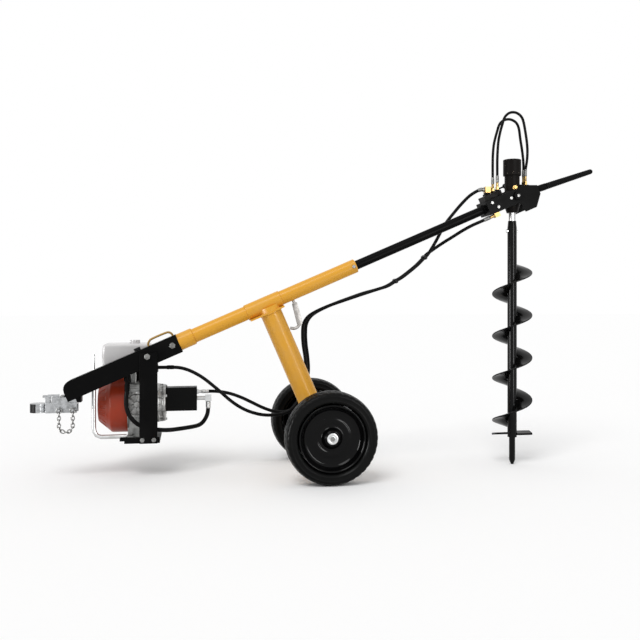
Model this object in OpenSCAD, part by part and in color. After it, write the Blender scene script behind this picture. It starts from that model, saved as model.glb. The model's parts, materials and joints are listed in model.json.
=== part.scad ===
// Towable hydraulic earth auger: a two-wheeled boom with an engine and pump at the
// hitch end and a hydraulic motor that turns the auger at the handle end.

/* [Wheels] */
// Radius of the tyres
tyre_r = 207; // [170:1:240]
// Width of a tyre
tyre_w = 108; // [80:1:130]
// Radius of the tyre's inner edge, where the rim's lip sits
lip_r = 150; // [120:1:160]
// Distance between the middles of the two tyres
track = 585; // [480:5:700]
// Radius of the axle
axle_r = 15; // [12:0.5:20]
// Radius of the wheel hub's outside
hub_r = 34; // [30:1:44]
// Thickness of the pressed wheel disc
disc_t = 5; // [3:0.5:8]
// Radial room between turning parts
run_gap = 0.05; // [0.02:0.01:0.1]

/* [Boom] */
// Angle of the boom above the ground
tilt = 23.4; // [18:0.1:27]
// Length of the wheel post, axle to boom
post_len = 642; // [560:1:700]
// Radius of the wheel post
post_r = 51; // [42:0.5:54]
// Wall of the wheel post
post_wall = 5; // [3:0.5:8]
// Radius of the boom tube
boom_r = 33.5; // [31:0.5:34.5]
// Wall of the boom tube
boom_wall = 4.5; // [3:0.5:6]
// Reach of the boom tube past the post
boom_fore = 463; // [400:1:520]
// Reach of the boom tube behind the post
boom_aft = 550; // [540:1:560]
// Wall of the sleeve that holds the boom on the post
sleeve_wall = 4; // [3:0.5:8]
// Radius of the extension tube
ext_r = 22; // [18:0.5:24]
// Wall of the extension tube
ext_wall = 5; // [3:0.5:5]
// Reach of the extension tube past the boom tube
ext_out = 705; // [640:1:760]
// Length of the extension tube inside the boom tube
ext_in = 220; // [150:1:300]
// Side gap of parts that slide together and are then fixed
slip = 0.25; // [0.15:0.05:0.4]

/* [Drawbar and hitch] */
// Height of the drawbar's box section
bar_h = 86; // [85:1:96]
// Width of the drawbar's box section
bar_w = 78; // [77:1:90]
// Distance of the drawbar's middle below the boom's axis
bar_drop = 3; // [0:0.5:3]
// Wall of the drawbar
bar_wall = 5; // [4:0.5:6]
// Distance of the drawbar's open end behind the post
bar_near = 448; // [440:1:460]
// Distance from the axle to the middle of the hitch ball
ball_x = 1292; // [1270:1:1320]
// Distance from the drawbar's end to the middle of the hitch ball
tongue_out = 134.2; // [125:0.2:150]
// Height of the drawbar's lower corner above the coupler
tongue_seat = 3.6; // [2:0.2:8]
// Height of the coupler
coupler_h = 46; // [40:1:56]
// Width of the coupler
coupler_w = 62; // [58:1:70]
// Radius of the socket for the hitch ball
ball_r = 25.6; // [24:0.1:28]
// Radius of the coupler's nose
nose_r = 36; // [33:0.5:40]

/* [Engine] */
// Distance of the crankshaft beside the boom
eng_y = 150; // [150:1:158]
// Height of the crankshaft
eng_z = 322; // [318:1:330]
// Radius of the fan shroud
shroud_r = 135; // [125:1:138]
// Wall of the fan shroud and the bell housing
shell_t = 4; // [3:0.5:6]
// Radius of the crankshaft's journals
crank_r = 15; // [12:0.5:18]
// Radius of the pump shaft
pump_shaft_r = 10; // [8:0.5:12]
// Teeth of each pump gear
pump_teeth = 10; // [10:1:10]
// Distance between the two pump gears
pump_gap = 38; // [37.5:0.1:38.5]
// Width of the pump gears
pump_gear_w = 44; // [30:1:60]

/* [Drill head] */
// Distance from the yoke's rear plate to the head's pivot
pivot_gap = 163; // [158:1:175]
// Inside width of the yoke
yoke_in = 116; // [112:1:124]
// Thickness of the yoke's side plates
yoke_t = 8; // [6:1:12]
// Height of the yoke's side plates
yoke_h = 70; // [64:1:80]
// Radius of the trunnion pins
trunnion_r = 12; // [10:0.5:14]
// Radius of the motor's body
motor_r = 37; // [34:1:40]
// Radius of the motor's cap
can_r = 44; // [40:1:48]
// Height of the motor's top above the pivot
motor_top = 187; // [170:1:200]
// Radius of the output shaft
shaft_r = 17; // [15:0.5:19]

/* [Auger] */
// Radius of the auger's flight
flight_r = 98; // [80:1:120]
// Rise of the flight in one turn
pitch = 210; // [180:1:240]
// Thickness of the flight
flight_t = 8; // [5:0.5:10]
// Radius of the auger's stem
stem_r = 23; // [21:0.5:27]
// Height of the flight's lower end
flight_low = 175; // [150:1:200]
// Height of the flight's upper end
flight_high = 997; // [900:1:1040]
// Radius of the pilot bit
pilot_r = 15; // [12:0.5:18]

/* [Handle and hoses] */
// Radius of the handle bar
handle_r = 10; // [9:0.5:12]
// Radius of the grip at its tip
grip_r = 13; // [12.5:0.5:16]
// Radius of the grip at its root
grip_root_r = 16.5; // [14:0.5:18]
// Length of the grip
grip_len = 250; // [200:1:252]
// Distance from the head's pivot to the handle's tip
handle_reach = 438; // [400:1:480]
// Angle of the handle below the boom's line
handle_drop = 4.9; // [2:0.1:6]
// Diameter of the long hoses
hose_d = 16; // [14:0.5:20]
// Diameter of the suction hose
suction_d = 20; // [18:0.5:22]
// Diameter of the two hoses at the drill head
loop_d = 13; // [11:0.5:17]

/* [Hidden] */
$fn = 64;

// Frame points
boom_x = -post_len * sin(tilt);
boom_z = tyre_r + post_len * cos(tilt);
function along(u, w) = [boom_x + u * cos(tilt) - w * sin(tilt), boom_z + u * sin(tilt) + w * cos(tilt)];
function axis_z(x) = boom_z + (x - boom_x) * tan(tilt);
bar_top = bar_h / 2 - bar_drop;
bar_low = -bar_h / 2 - bar_drop;
function bar_under(x) = axis_z(x) + bar_low / cos(tilt);
ext_end = boom_fore + ext_out;
pivot_u = ext_end + pivot_gap;
pivot = along(pivot_u, 0);
pivot_x = pivot[0];
pivot_z = pivot[1];
handle_a = tilt - handle_drop;
handle_end = [pivot_x + handle_reach * cos(handle_a), pivot_z + handle_reach * sin(handle_a)];
low_x = -ball_x - nose_r;
high_x = handle_end[0] + grip_r;
mid_x = (low_x + high_x) / 2;

// Drawbar
bar_far = (ball_x - tongue_out + boom_x - bar_low * sin(tilt)) / cos(tilt);
bar_end_t = 10;
tongue_t = 24;
tongue_w = 56;
tongue_back = 62;
tongue_len = 128;
tongue_x0 = -ball_x + tongue_back;
tongue_x1 = tongue_x0 + tongue_len;
coupler_len = 172;
coupler_x1 = -ball_x + coupler_len;
coupler_top = along(-bar_far, bar_low)[1] - tongue_seat;
coupler_z0 = coupler_top - coupler_h;
socket_deep = 22;

// Engine
case_x0 = -903;
case_len = 128;
case_x1 = case_x0 + case_len;
case_y0 = eng_y - 85;
case_y1 = eng_y + 85;
base_z = 170;
foot_t = 12;
plate_t = 10;
shroud_len = 139;
shroud_x0 = case_x0 - shroud_len;
recoil_x1 = shroud_x0 + 51;
fan_x0 = recoil_x1 + 12;
recoil_r0 = 83;
recoil_r1 = 124;
tank_len = 226;
tank_x0 = shroud_x0 + 20;
tank_x1 = tank_x0 + tank_len;
tank_y0 = eng_y - 90;
tank_y1 = eng_y + 102;
tank_z0 = 494;
tank_z1 = 608;
tank_round = 28;
cap_x = tank_x0 + 147;
cap_y = eng_y;
cap_r = 24;
cap_h = 16;
bell_len = 46;
bell_x1 = case_x1 + bell_len;
bell_r0 = 92;
pump_x0 = bell_x1;
pump_len = 129;
pump_x1 = pump_x0 + pump_len;
pump_cover_t = 18;
gear_out = 22;
gear_root = 15.2;
case_wall = 12;

// Hanger and platform
hanger_w = 81;
hanger_x0 = case_x0 + 60;
hanger_x1 = hanger_x0 + hanger_w;
hanger_t = 12;
hanger_y1 = -bar_w / 2;
hanger_y0 = hanger_y1 - hanger_t;
hanger_bolt_x = hanger_x0 + 35;
hanger_over = 17;
hanger_z1 = axis_z(hanger_bolt_x) + hanger_over;
plat_x0 = case_x0 - 8;
plat_x1 = case_x1 + 23;
plat_y1 = case_y1 + 27;
plat_z0 = base_z - plate_t;
lip_h = 28;
bolt_r = 6;

// Hose routes
return_route = [[-722, 0, 503], [-694, 0, 503], [-656, 2, 499], [-612, 5, 484], [-560, 12, 454],
    [-510, 20, 414], [-468, 28, 377], [-424, 38, 337], [-378, 48, 304], [-330, 58, 280], [-270, 68, 263],
    [-205, 78, 260], [-150, 82, 272], [-112, 82, 300], [-84, 81, 345], [-66, 80, 405], [-58, 79, 470],
    [-63, 77, 535], [-73, 74, 600], [-76, 71, 655], [-72, 69, 698], [-52, 65, 732], [-16, 61, 757],
    [50, 53, 787], [130, 46, 815], [210, 39, 842], [290, 34, 868], [340, 34, 884], [380, 34, 908],
    [420, 34, 932], [487, 34, 985], [527, 34, 1025], [545, 34, 1043], [586, 41, 1106], [634, 50, 1188],
    [680, 52, 1246], [726, 46, 1300], [764, 32, 1338], [806, 20, 1362], [830, 20, 1362]];
pressure_route = [[-560, 150, 372], [-530, 150, 372], [-490, 148, 371], [-450, 144, 366], [-410, 139, 356],
    [-365, 133, 339], [-317, 126, 316], [-270, 120, 293], [-225, 116, 276], [-180, 113, 268], [-136, 112, 274],
    [-98, 112, 302], [-70, 112, 348], [-52, 111, 405], [-42, 108, 470], [-46, 103, 535], [-55, 98, 600],
    [-58, 94, 655], [-54, 92, 698], [-34, 88, 734], [4, 83, 762], [70, 75, 793], [150, 67, 823],
    [222, 62, 848], [295, 58, 868], [340, 58, 884], [380, 58, 908], [420, 58, 932], [487, 58, 985],
    [527, 58, 1025], [545, 58, 1043], [585, 52, 1072], [625, 40, 1100], [665, 26, 1126], [710, 8, 1156],
    [755, -8, 1182], [788, -17, 1197], [815, -20, 1209], [843, -20, 1221]];
suction_route = [[-900, -16, 430], [-900, -16, 404], [-904, -16, 366], [-902, -16, 322], [-886, -16, 280],
    [-852, -16, 245], [-802, -16, 224], [-745, -16, 216], [-705, -8, 214], [-668, 15, 214], [-628, 53, 213],
    [-585, 94, 214], [-563, 116, 220], [-545, 134, 237], [-532, 146, 263], [-528, 150, 294],
    [-528, 150, 324]];
loop_a_route = [[877, -30, 1392], [877, -30, 1440], [877, -30, 1500], [879, -30, 1550], [884, -29, 1600],
    [895, -28, 1650], [906, -27, 1685], [912, -26, 1705], [923, -25, 1724], [942, -24, 1739],
    [965, -22, 1744], [988, -20, 1739], [1007, -19, 1724], [1019, -17, 1700], [1030, -15, 1650],
    [1038, -14, 1600], [1042, -12, 1555], [1040, -11, 1510], [1034, -10, 1470], [1032, -10, 1450], [1032, -10, 1430]];
loop_b_route = [[877, 30, 1392], [877, 30, 1440], [877, 30, 1500], [878, 29, 1545], [882, 28, 1590],
    [891, 27, 1630], [901, 26, 1665], [906, 26, 1681], [916, 25, 1700], [935, 24, 1714], [958, 23, 1719],
    [980, 22, 1714], [999, 21, 1700], [1011, 20, 1672], [1018, 19, 1620], [1026, 18, 1570], [1032, 17, 1520],
    [1033, 15, 1480], [1032, 14, 1450], [1032, 14, 1430]];

// Rings along a route, carried from point to point with no twist
function unit(v) = v / norm(v);
function dir_at(p, i) = unit(p[min(i + 1, len(p) - 1)] - p[max(i - 1, 0)]);
function side_at(p, i) =
    let (d = dir_at(p, i), up = abs(d[1]) > 0.9 ? [1, 0, 0] : [0, 1, 0])
    unit(up - (up * d) * d);
function ring_at(p, i, r, sides) =
    let (d = dir_at(p, i), a = side_at(p, i), b = cross(d, a))
    [for (k = [0 : sides - 1]) p[i] + r * (cos(360 * k / sides) * a + sin(360 * k / sides) * b)];

module sweep(p, r, sides = 10) {
    count = len(p);
    rings = [for (i = [0 : count - 1]) each ring_at(p, i, r, sides)];
    walls = [for (i = [0 : count - 2], k = [0 : sides - 1])
        let (n = (k + 1) % sides, a = i * sides, b = a + sides)
        each [[a + k, b + n, a + n], [a + k, b + k, b + n]]];
    low = [for (k = [1 : sides - 2]) [0, k, k + 1]];
    top = (count - 1) * sides;
    high = [for (k = [1 : sides - 2]) [top, top + k + 1, top + k]];
    polyhedron(rings, concat(low, walls, high));
}

// Places a shape in the finished frame, whose origin is under the middle of the machine
module placed() translate([-mid_x, 0, 0]) children();

// Places a shape on the boom's axis, measured from the post
module on_boom(u = 0, y = 0, w = 0)
    translate([boom_x, 0, boom_z]) rotate([0, -tilt, 0]) translate([u, y, w]) children();

// Cylinder along X, cylinder along Y, box between two corners
module along_x(x0, x1, r) translate([x0, 0, 0]) rotate([0, 90, 0]) cylinder(r = r, h = x1 - x0);
module along_y(y0, y1, r) translate([0, y1, 0]) rotate([90, 0, 0]) cylinder(r = r, h = y1 - y0);
module box(a, b) translate(a) cube(b - a);

// Hexagon bolt along Y with its head on the near side
module bolt_y(y0, y1, r) {
    along_y(y0, y1, r);
    translate([0, y0, 0]) rotate([90, 0, 0]) cylinder(r = 1.8 * r, h = 1.2 * r, $fn = 6);
}

// Hexagon bolt standing up, with its head on top
module bolt_z(z0, z1, r) {
    translate([0, 0, z0]) cylinder(r = r, h = z1 - z0);
    translate([0, 0, z1]) cylinder(r = 1.8 * r, h = 1.2 * r, $fn = 6);
}

// Hydraulic fitting along Z: a ferrule with a hexagon at its foot
module fitting(len, r) {
    cylinder(r = r, h = len);
    cylinder(r = 1.45 * r, h = 0.4 * len, $fn = 6);
}

// Revolved shapes about the crankshaft's axis, drawn as [radius, x] points
module about_crank(points) translate([0, eng_y, eng_z]) rotate([0, 90, 0]) rotate_extrude() polygon(points);

// Outline of a pump gear with straight-sided teeth
function gear_points(teeth, out_r, root_r, phase) =
    let (step = 360 / teeth)
    [for (i = [0 : teeth - 1], c = [[-0.3, root_r], [-0.12, out_r], [0.12, out_r], [0.3, root_r]])
        let (a = phase + (i + c[0]) * step) c[1] * [cos(a), sin(a)]];

// Shape drawn in Y and Z and drawn out along X
module drawn_x(x0, x1) translate([x0, 0, 0]) rotate([90, 0, 90]) linear_extrude(x1 - x0) children();

// Wheels
bush_r = axle_r + 7;
hub_half = 34;
cap_t = 12;
barrel_t = 7;
barrel_half = 42;
dish_in = 6;
wheel_gap = 1.5;

// Places a wheel part, drawn with its outer face up, on one end of the axle
module on_wheel(side)
    translate([0, side * track / 2, tyre_r]) rotate([-side * 90, 0, 0]) children();

function bulge(a, n) = sign(a) * pow(abs(a), n);
module tyre_shape() {
    mid = (tyre_r + lip_r) / 2;
    half = (tyre_r - lip_r) / 2;
    rotate_extrude($fn = 96)
        polygon([for (a = [0 : 10 : 350]) [mid + half * bulge(cos(a), 0.55), tyre_w / 2 * bulge(sin(a), 0.7)]]);
}
module rim_shape() {
    barrel_r = lip_r - slip;
    rotate_extrude($fn = 96) {
        translate([barrel_r - barrel_t, -barrel_half]) square([barrel_t, 2 * barrel_half]);
        translate([bush_r + run_gap, -hub_half]) square([hub_r - bush_r - run_gap, 2 * hub_half]);
        polygon([[barrel_r - 1, barrel_half], [barrel_r - barrel_t, barrel_half], [barrel_r - 32, dish_in + disc_t],
            [hub_r - 1, dish_in + disc_t], [hub_r - 1, dish_in], [barrel_r - 29, dish_in],
            [barrel_r - 1, barrel_half - 9]]);
    }
}
module bush_shape()
    for (z = [-hub_half, hub_half - 20])
        translate([0, 0, z]) difference() {
            cylinder(r = bush_r, h = 20);
            translate([0, 0, -1]) cylinder(r = axle_r + run_gap, h = 22);
        }
module cap_shape()
    translate([0, 0, hub_half]) difference() {
        cylinder(r1 = hub_r - 3, r2 = hub_r - 7, h = cap_t);
        translate([0, 0, -1]) cylinder(r = axle_r + 4, h = cap_t - 2);
    }

module near_tyre() color("#1b1b1c") placed() on_wheel(-1) tyre_shape();
module far_tyre() color("#1b1b1c") placed() on_wheel(1) tyre_shape();
module near_rim() color("#141416") placed() on_wheel(-1) rim_shape();
module far_rim() color("#141416") placed() on_wheel(1) rim_shape();
module near_bushes() color("#b08d4f") placed() on_wheel(-1) bush_shape();
module far_bushes() color("#b08d4f") placed() on_wheel(1) bush_shape();
module near_hub_cap() color("#d8d8d4") placed() on_wheel(-1) cap_shape();
module far_hub_cap() color("#d8d8d4") placed() on_wheel(1) cap_shape();

// Axle, post and boom
axle_half = track / 2 + hub_half + 5;
axle_tube_r = axle_r + 11;
axle_tube_half = track / 2 - hub_half - wheel_gap;
post_below = 32;
post_top = -14;
sleeve_r = boom_r + slip + sleeve_wall;
sleeve_u0 = -104;
sleeve_u1 = 66;
saddle_t = 8;
collar_r = boom_r + 6;
collar_u1 = -377;
guide_len = 30;
joint_bolt_r = 8;
ext_bolt_r = 5;
ext_bolt_u = boom_fore - guide_len / 2;
bar_bolt_u = -bar_near - 32;
hanger_bolt_u = (hanger_bolt_x - boom_x) / cos(tilt);

module axle() color("#9a9a98") placed() translate([0, 0, tyre_r]) along_y(-axle_half, axle_half, axle_r);

module wheel_post() color("#e3a535") placed() difference() {
    union() {
        difference() {
            on_boom(0, 0, -post_len - post_below) cylinder(r = post_r, h = post_len + post_below + post_top);
            on_boom(0, 0, -post_len - post_below - 1)
                cylinder(r = post_r - post_wall, h = post_len + post_below + 1 - sleeve_r);
        }
        translate([0, 0, tyre_r]) along_y(-axle_tube_half, axle_tube_half, axle_tube_r);
        on_boom() along_x(sleeve_u0, sleeve_u1, sleeve_r);
        on_boom() box([sleeve_u0, -post_r, -sleeve_r - saddle_t + 2], [sleeve_u1, post_r, -sleeve_r + 2]);
    }
    translate([0, 0, tyre_r]) along_y(-axle_tube_half - 1, axle_tube_half + 1, axle_r + slip);
    on_boom() along_x(sleeve_u0 - 1, sleeve_u1 + 1, boom_r + slip);
}

module boom_tube() color("#e3a535") placed() on_boom() difference() {
    union() {
        along_x(-boom_aft, boom_fore, boom_r);
        along_x(-bar_near, collar_u1, collar_r);
    }
    along_x(-boom_aft - 1, boom_fore - ext_in, boom_r - boom_wall);
    along_x(boom_fore - ext_in + guide_len, boom_fore - guide_len, boom_r - boom_wall);
    along_x(-boom_aft - 1, boom_fore + 1, ext_r + slip);
    translate([bar_bolt_u, 0, 0]) along_y(-boom_r - 1, boom_r + 1, joint_bolt_r + slip);
    translate([ext_bolt_u, 0, 0]) along_y(-boom_r - 1, boom_r + 1, ext_bolt_r + slip);
}

module extension_tube() color("#17181a") placed() on_boom() difference() {
    along_x(boom_fore - ext_in, ext_end, ext_r);
    along_x(boom_fore - ext_in - 1, ext_end + 1, ext_r - ext_wall);
    translate([ext_bolt_u, 0, 0]) along_y(-ext_r - 1, ext_r + 1, ext_bolt_r + slip);
}

hook_r = 7;
hook_u = 120;
hook_foot = along(hook_u, -boom_r - 0.3);
hook_neck = along(hook_u, -boom_r - 22);
hook_bends = [[10, -31], [20, -63], [22, -87], [14, -105], [-2, -113], [-22, -111]];
hook_route = concat([[hook_foot[0], 0, hook_foot[1]], [hook_neck[0], 0, hook_neck[1]]],
    [for (b = hook_bends) [hook_neck[0] + b[0], 0, hook_neck[1] + b[1]]]);
shank_w = 26;
shank_at = [hook_neck, hook_neck + hook_bends[2]];
module hose_hook() color("#a9aba8") placed() {
    sweep(hook_route, hook_r, 12);
    translate([0, hook_r, 0]) rotate([90, 0, 0]) linear_extrude(2 * hook_r)
        hull() for (p = shank_at) translate(p) circle(r = shank_w / 2);
}

// Drawbar and hitch
port_r = 14;
suction_port = [-900, -16];
return_port = [-775, 0];
port_len = 14.9;
return_len = 8;
port_low = bar_under(suction_port[0]) - port_len;
return_low = bar_under(return_port[0]) - return_len;
module drawbar() color("#191a1c") placed() difference() {
    union() {
        difference() {
            on_boom() box([-bar_far, -bar_w / 2, bar_low], [-bar_near, bar_w / 2, bar_top]);
            on_boom() box([-bar_far + bar_wall, -bar_w / 2 + bar_wall, bar_low + bar_wall],
                [-bar_near - bar_end_t, bar_w / 2 - bar_wall, bar_top - bar_wall]);
        }
        box([tongue_x0, -tongue_w / 2, coupler_top], [tongue_x1, tongue_w / 2, coupler_top + tongue_t]);
        translate([suction_port[0], suction_port[1], port_low]) cylinder(r = port_r, h = port_len + 6);
        translate([return_port[0], return_port[1], return_low]) cylinder(r = port_r, h = return_len + 10);
    }
    on_boom() along_x(-boom_aft - 1, -bar_near + 1, boom_r + slip);
    on_boom() translate([bar_bolt_u, 0, 0]) along_y(-bar_w, bar_w, joint_bolt_r + slip);
    on_boom() translate([hanger_bolt_u, 0, 0]) along_y(-bar_w, bar_w, joint_bolt_r + slip);
    for (s = [-1, 1]) translate([hitch_bolt_x, s * hitch_bolt_y, coupler_top - 1])
        cylinder(r = bolt_r + slip, h = tongue_t + 2);
}

oil_cap_u = -634;
oil_cap_r = 15;
oil_cap_h = 14;
module oil_cap() color("#26272a") placed() on_boom(oil_cap_u, 0, bar_top + 0.2) difference() {
    cylinder(r = oil_cap_r, h = oil_cap_h);
    for (a = [0 : 30 : 330]) rotate(a) translate([oil_cap_r + 0.6, 0, 4]) cylinder(r = 2, h = oil_cap_h);
}

bail_r = 5;
bail_top = bar_top + 25;
bail_route = [[-580, 0, bar_top], [-580, 0, bar_top + 8], [-570, 0, bail_top - 6], [-552, 0, bail_top],
    [-488, 0, bail_top], [-470, 0, bail_top - 5], [-462, 0, bar_top + 8], [-462, 0, bar_top]];
module lifting_bail() color("#b98a2e") placed() on_boom() sweep(bail_route, bail_r, 12);

// Coupler with its latch lever and safety chain
neck_x = -ball_x + 34;
nose_low = coupler_top - 44;
nose_top = coupler_top - 4;
latch_x = -ball_x + 42;
latch_up = 19;
latch_z = coupler_top + latch_up;
latch_pin_r = 4;
ear_t = 5;
latch_half_w = 9;
latch_arm = tongue_t - latch_up + 2.5;
latch_t = 8;
latch_len = 44;
latch_toe = 22;
chain_y = -51;
chain_pin_z = coupler_top - 31;
chain_span = 60;
chain_x0 = -ball_x + 97;
chain_x1 = chain_x0 + chain_span;
chain_pin_r = 5;
hitch_bolt_back = 108;
hitch_bolt_x = -ball_x + hitch_bolt_back;
hitch_bolt_y = 15;

module coupler_body() color("#b9bcbb") placed() difference() {
    union() {
        box([neck_x, -coupler_w / 2, coupler_z0], [coupler_x1, coupler_w / 2, coupler_top]);
        translate([-ball_x, 0, nose_low]) cylinder(r = nose_r, h = nose_top - nose_low);
        for (s = [-1, 1]) {
            y = s * (latch_half_w + 0.5 + ear_t / 2);
            box([latch_x - 10, y - ear_t / 2, coupler_top - 1], [latch_x + 10, y + ear_t / 2, latch_z + 8]);
        }
        translate([latch_x, 0, latch_z]) along_y(-latch_half_w - 3, latch_half_w + 3, latch_pin_r);
        for (x = [chain_x0, chain_x1])
            translate([x, 0, chain_pin_z]) along_y(chain_y - 12, -coupler_w / 2 + 1, chain_pin_r);
    }
    translate([-ball_x, 0, nose_low - 1]) cylinder(r = ball_r, h = socket_deep + 1);
    translate([-ball_x, 0, nose_low + socket_deep]) cylinder(r1 = ball_r, r2 = ball_r / 2, h = 11);
    for (s = [-1, 1]) translate([hitch_bolt_x, s * hitch_bolt_y, coupler_z0 - 1])
        cylinder(r = bolt_r + slip, h = coupler_h + 2);
    box([neck_x + 30, -coupler_w / 2 + 8, coupler_z0 - 1], [coupler_x1 + 1, coupler_w / 2 - 8, coupler_top - 8]);
}

module coupler_lever() color("#c6c8c6") placed() translate([latch_x, 0, latch_z]) difference() {
    union() {
        along_y(-latch_half_w, latch_half_w, 13);
        box([-latch_toe, -latch_half_w, 3], [0, latch_half_w, 13]);
        box([0, -latch_half_w, latch_arm], [latch_len, latch_half_w, latch_arm + latch_t]);
        translate([latch_len, 0, latch_arm + latch_t / 2]) along_y(-latch_half_w - 5, latch_half_w + 5, 5);
    }
    along_y(-latch_half_w - 1, latch_half_w + 1, latch_pin_r + run_gap);
}

link_r = 11;
wire_r = 2.6;
link_step = 2 * (link_r - wire_r) - 0.3;
leg_links = 4;
arc_links = 6;
link_count = 2 * leg_links + arc_links + 1;
chain_arc = (chain_x1 - chain_x0) / 2;
chain_top = chain_pin_z - (link_r - wire_r - chain_pin_r) + 0.3;
chain_low = chain_top - leg_links * link_step;
function chain_at(i) =
    let (turn = 180 * (i - leg_links) / arc_links)
    i < leg_links ? [chain_x0, chain_top - i * link_step, -90]
    : turn > 180 ? [chain_x1, chain_top - (link_count - 1 - i) * link_step, 90]
    : [(chain_x0 + chain_x1) / 2 - chain_arc * cos(turn), chain_low - chain_arc * sin(turn), turn - 90];
module safety_chain() color("#3a3b3d") placed()
    for (i = [0 : link_count - 1]) {
        c = chain_at(i);
        translate([c[0], chain_y, c[1]]) rotate(i % 2 == 0 ? [90, 0, 0] : [0, -c[2], 0])
            rotate_extrude($fn = 48) translate([link_r, 0]) circle(r = wire_r, $fn = 24);
    }

// Hanger, platform and front strut
lip_y1 = hanger_y1 + 10;
lip_bolts = [hanger_x0 + 13, hanger_x1 - 16];
lip_bolt_z = base_z + 7;
tab_x0 = plat_x0 - 26;
tab_y0 = 28;
tab_y1 = 64;
foot_out = 22;
foot_bolts = [for (x = [case_x0 + 14, case_x1 - 14], y = [case_y0 - 12, case_y1 + 12]) [x, y]];

module hanger_bar() color("#1b1c1e") placed() difference() {
    box([hanger_x0, hanger_y0, plat_z0], [hanger_x1, hanger_y1, hanger_z1]);
    on_boom() translate([hanger_bolt_u, 0, 0]) along_y(-bar_w, 0, joint_bolt_r + slip);
    for (x = lip_bolts) translate([x, 0, lip_bolt_z]) along_y(-bar_w, 0, bolt_r + slip);
}

module engine_platform() color("#1d1e20") placed() difference() {
    union() {
        box([plat_x0, hanger_y1, plat_z0], [plat_x1, plat_y1, base_z]);
        box([plat_x0, hanger_y1, plat_z0], [plat_x1, lip_y1, plat_z0 + lip_h]);
        box([tab_x0, tab_y0, plat_z0], [plat_x0 + 1, tab_y1, base_z]);
    }
    for (x = lip_bolts) translate([x, 0, lip_bolt_z]) along_y(-bar_w, 0, bolt_r + slip);
    for (p = foot_bolts) translate([p[0], p[1], plat_z0 - 1]) cylinder(r = bolt_r + slip, h = plate_t + 2);
}

strut_r = 10;
strut_x = shroud_x0 - 13;
strut_y = bar_w / 2 + strut_r + 1;
strut_z = base_z + strut_r;
strut_clamp_z = boom_z + (strut_x - boom_x) * tan(tilt);
strut_over = 116;
strut_tip_r = 5;
clamp_half = 14;
strut_route = [[strut_x, strut_y, strut_clamp_z + clamp_half], [strut_x, strut_y, base_z + 60],
    [strut_x + 3, strut_y, base_z + 35], [strut_x + 13, strut_y, base_z + 18], [strut_x + 32, strut_y, strut_z],
    [plat_x0 + 4, strut_y, strut_z]];
module front_strut() color("#a6a8a6") placed() union() {
    sweep(strut_route, strut_r, 16);
    translate([strut_x, strut_y, strut_clamp_z]) cylinder(r = strut_tip_r, h = strut_over);
    box([strut_x - clamp_half, bar_w / 2, strut_clamp_z - clamp_half],
        [strut_x + clamp_half, strut_y, strut_clamp_z + clamp_half]);
}

module frame_bolts() color("#c9cbca") placed() {
    on_boom() translate([hanger_bolt_u, 0, 0]) bolt_y(hanger_y0, bar_w / 2 + 12, joint_bolt_r);
    on_boom() translate([bar_bolt_u, 0, 0]) bolt_y(-bar_w / 2, bar_w / 2 + 12, joint_bolt_r);
    on_boom() translate([ext_bolt_u, 0, 0]) bolt_y(-boom_r, boom_r + 8, ext_bolt_r);
    for (x = lip_bolts) translate([x, 0, lip_bolt_z]) bolt_y(hanger_y0, lip_y1 + 8, bolt_r);
    for (p = foot_bolts) translate([p[0], p[1], 0]) bolt_z(plat_z0 - 8, base_z + foot_t, bolt_r);
    for (s = [-1, 1]) translate([hitch_bolt_x, s * hitch_bolt_y, 0])
        bolt_z(coupler_top - 16, coupler_top + tongue_t, bolt_r);
    for (s = [0, 180]) translate([pivot_x, 0, pivot_z]) rotate(s)
        bolt_y(-yoke_out, -yoke_in / 2 + 18, trunnion_r);
}

// Engine
case_top = 420;
head_mid_z = eng_z + 23;
fin_count = 7;
fin_t = 3.5;
cyl_y1 = case_y1 + 65;
head_y1 = cyl_y1 + 18;
cover_y1 = head_y1 + 18;
top_box_y0 = case_y1 + 23;
top_box_y1 = top_box_y0 + 84;
top_box_z0 = head_mid_z + 60;
top_box_z1 = 488;
throttle_x = case_x1 - 25;
throttle_z = case_top - 22;
throttle_pin_r = 4;
throttle_t = 4;
pin_out = 9;

module engine_block() color("#b7b9b8") placed() difference() {
    union() {
        box([case_x0, case_y0, base_z + foot_t - 1], [case_x1, case_y1, case_top]);
        box([case_x0, case_y0 - foot_out, base_z], [case_x1, case_y1 + foot_out, base_z + foot_t]);
        translate([0, eng_y, eng_z]) along_x(case_x0, case_x0 + 6, shroud_r);
        for (x = [case_x0 + 12, case_x1 - 32])
            box([x, eng_y - 50, case_top - 1], [x + 20, eng_y + 50, tank_z0]);
        translate([throttle_x, 0, throttle_z]) along_y(case_y0 - pin_out, case_y0 + 1, throttle_pin_r);
    }
    box([case_x0 + case_wall, case_y0 + case_wall, base_z + foot_t], [case_x1 - case_wall, case_y1 - case_wall,
        case_top - case_wall]);
    translate([0, eng_y, eng_z]) along_x(case_x0 - 1, case_x1 + 1, crank_r + run_gap);
    for (p = foot_bolts) translate([p[0], p[1], base_z - 1]) cylinder(r = bolt_r + slip, h = foot_t + 2);
}

module cylinder_head() color("#b4b6b5") placed() {
    translate([(case_x0 + case_x1) / 2, 0, head_mid_z]) {
        along_y(case_y1, cyl_y1 + 1, 42);
        for (i = [0 : fin_count - 1]) {
            y = case_y1 + 4 + i * (cyl_y1 - case_y1 - 6) / fin_count;
            box([-54, y, -55], [54, y + fin_t, 55]);
        }
        box([-56, cyl_y1, -60], [56, head_y1, 60]);
        box([-42, head_y1 - 1, -46], [42, cover_y1, 46]);
    }
}

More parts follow.
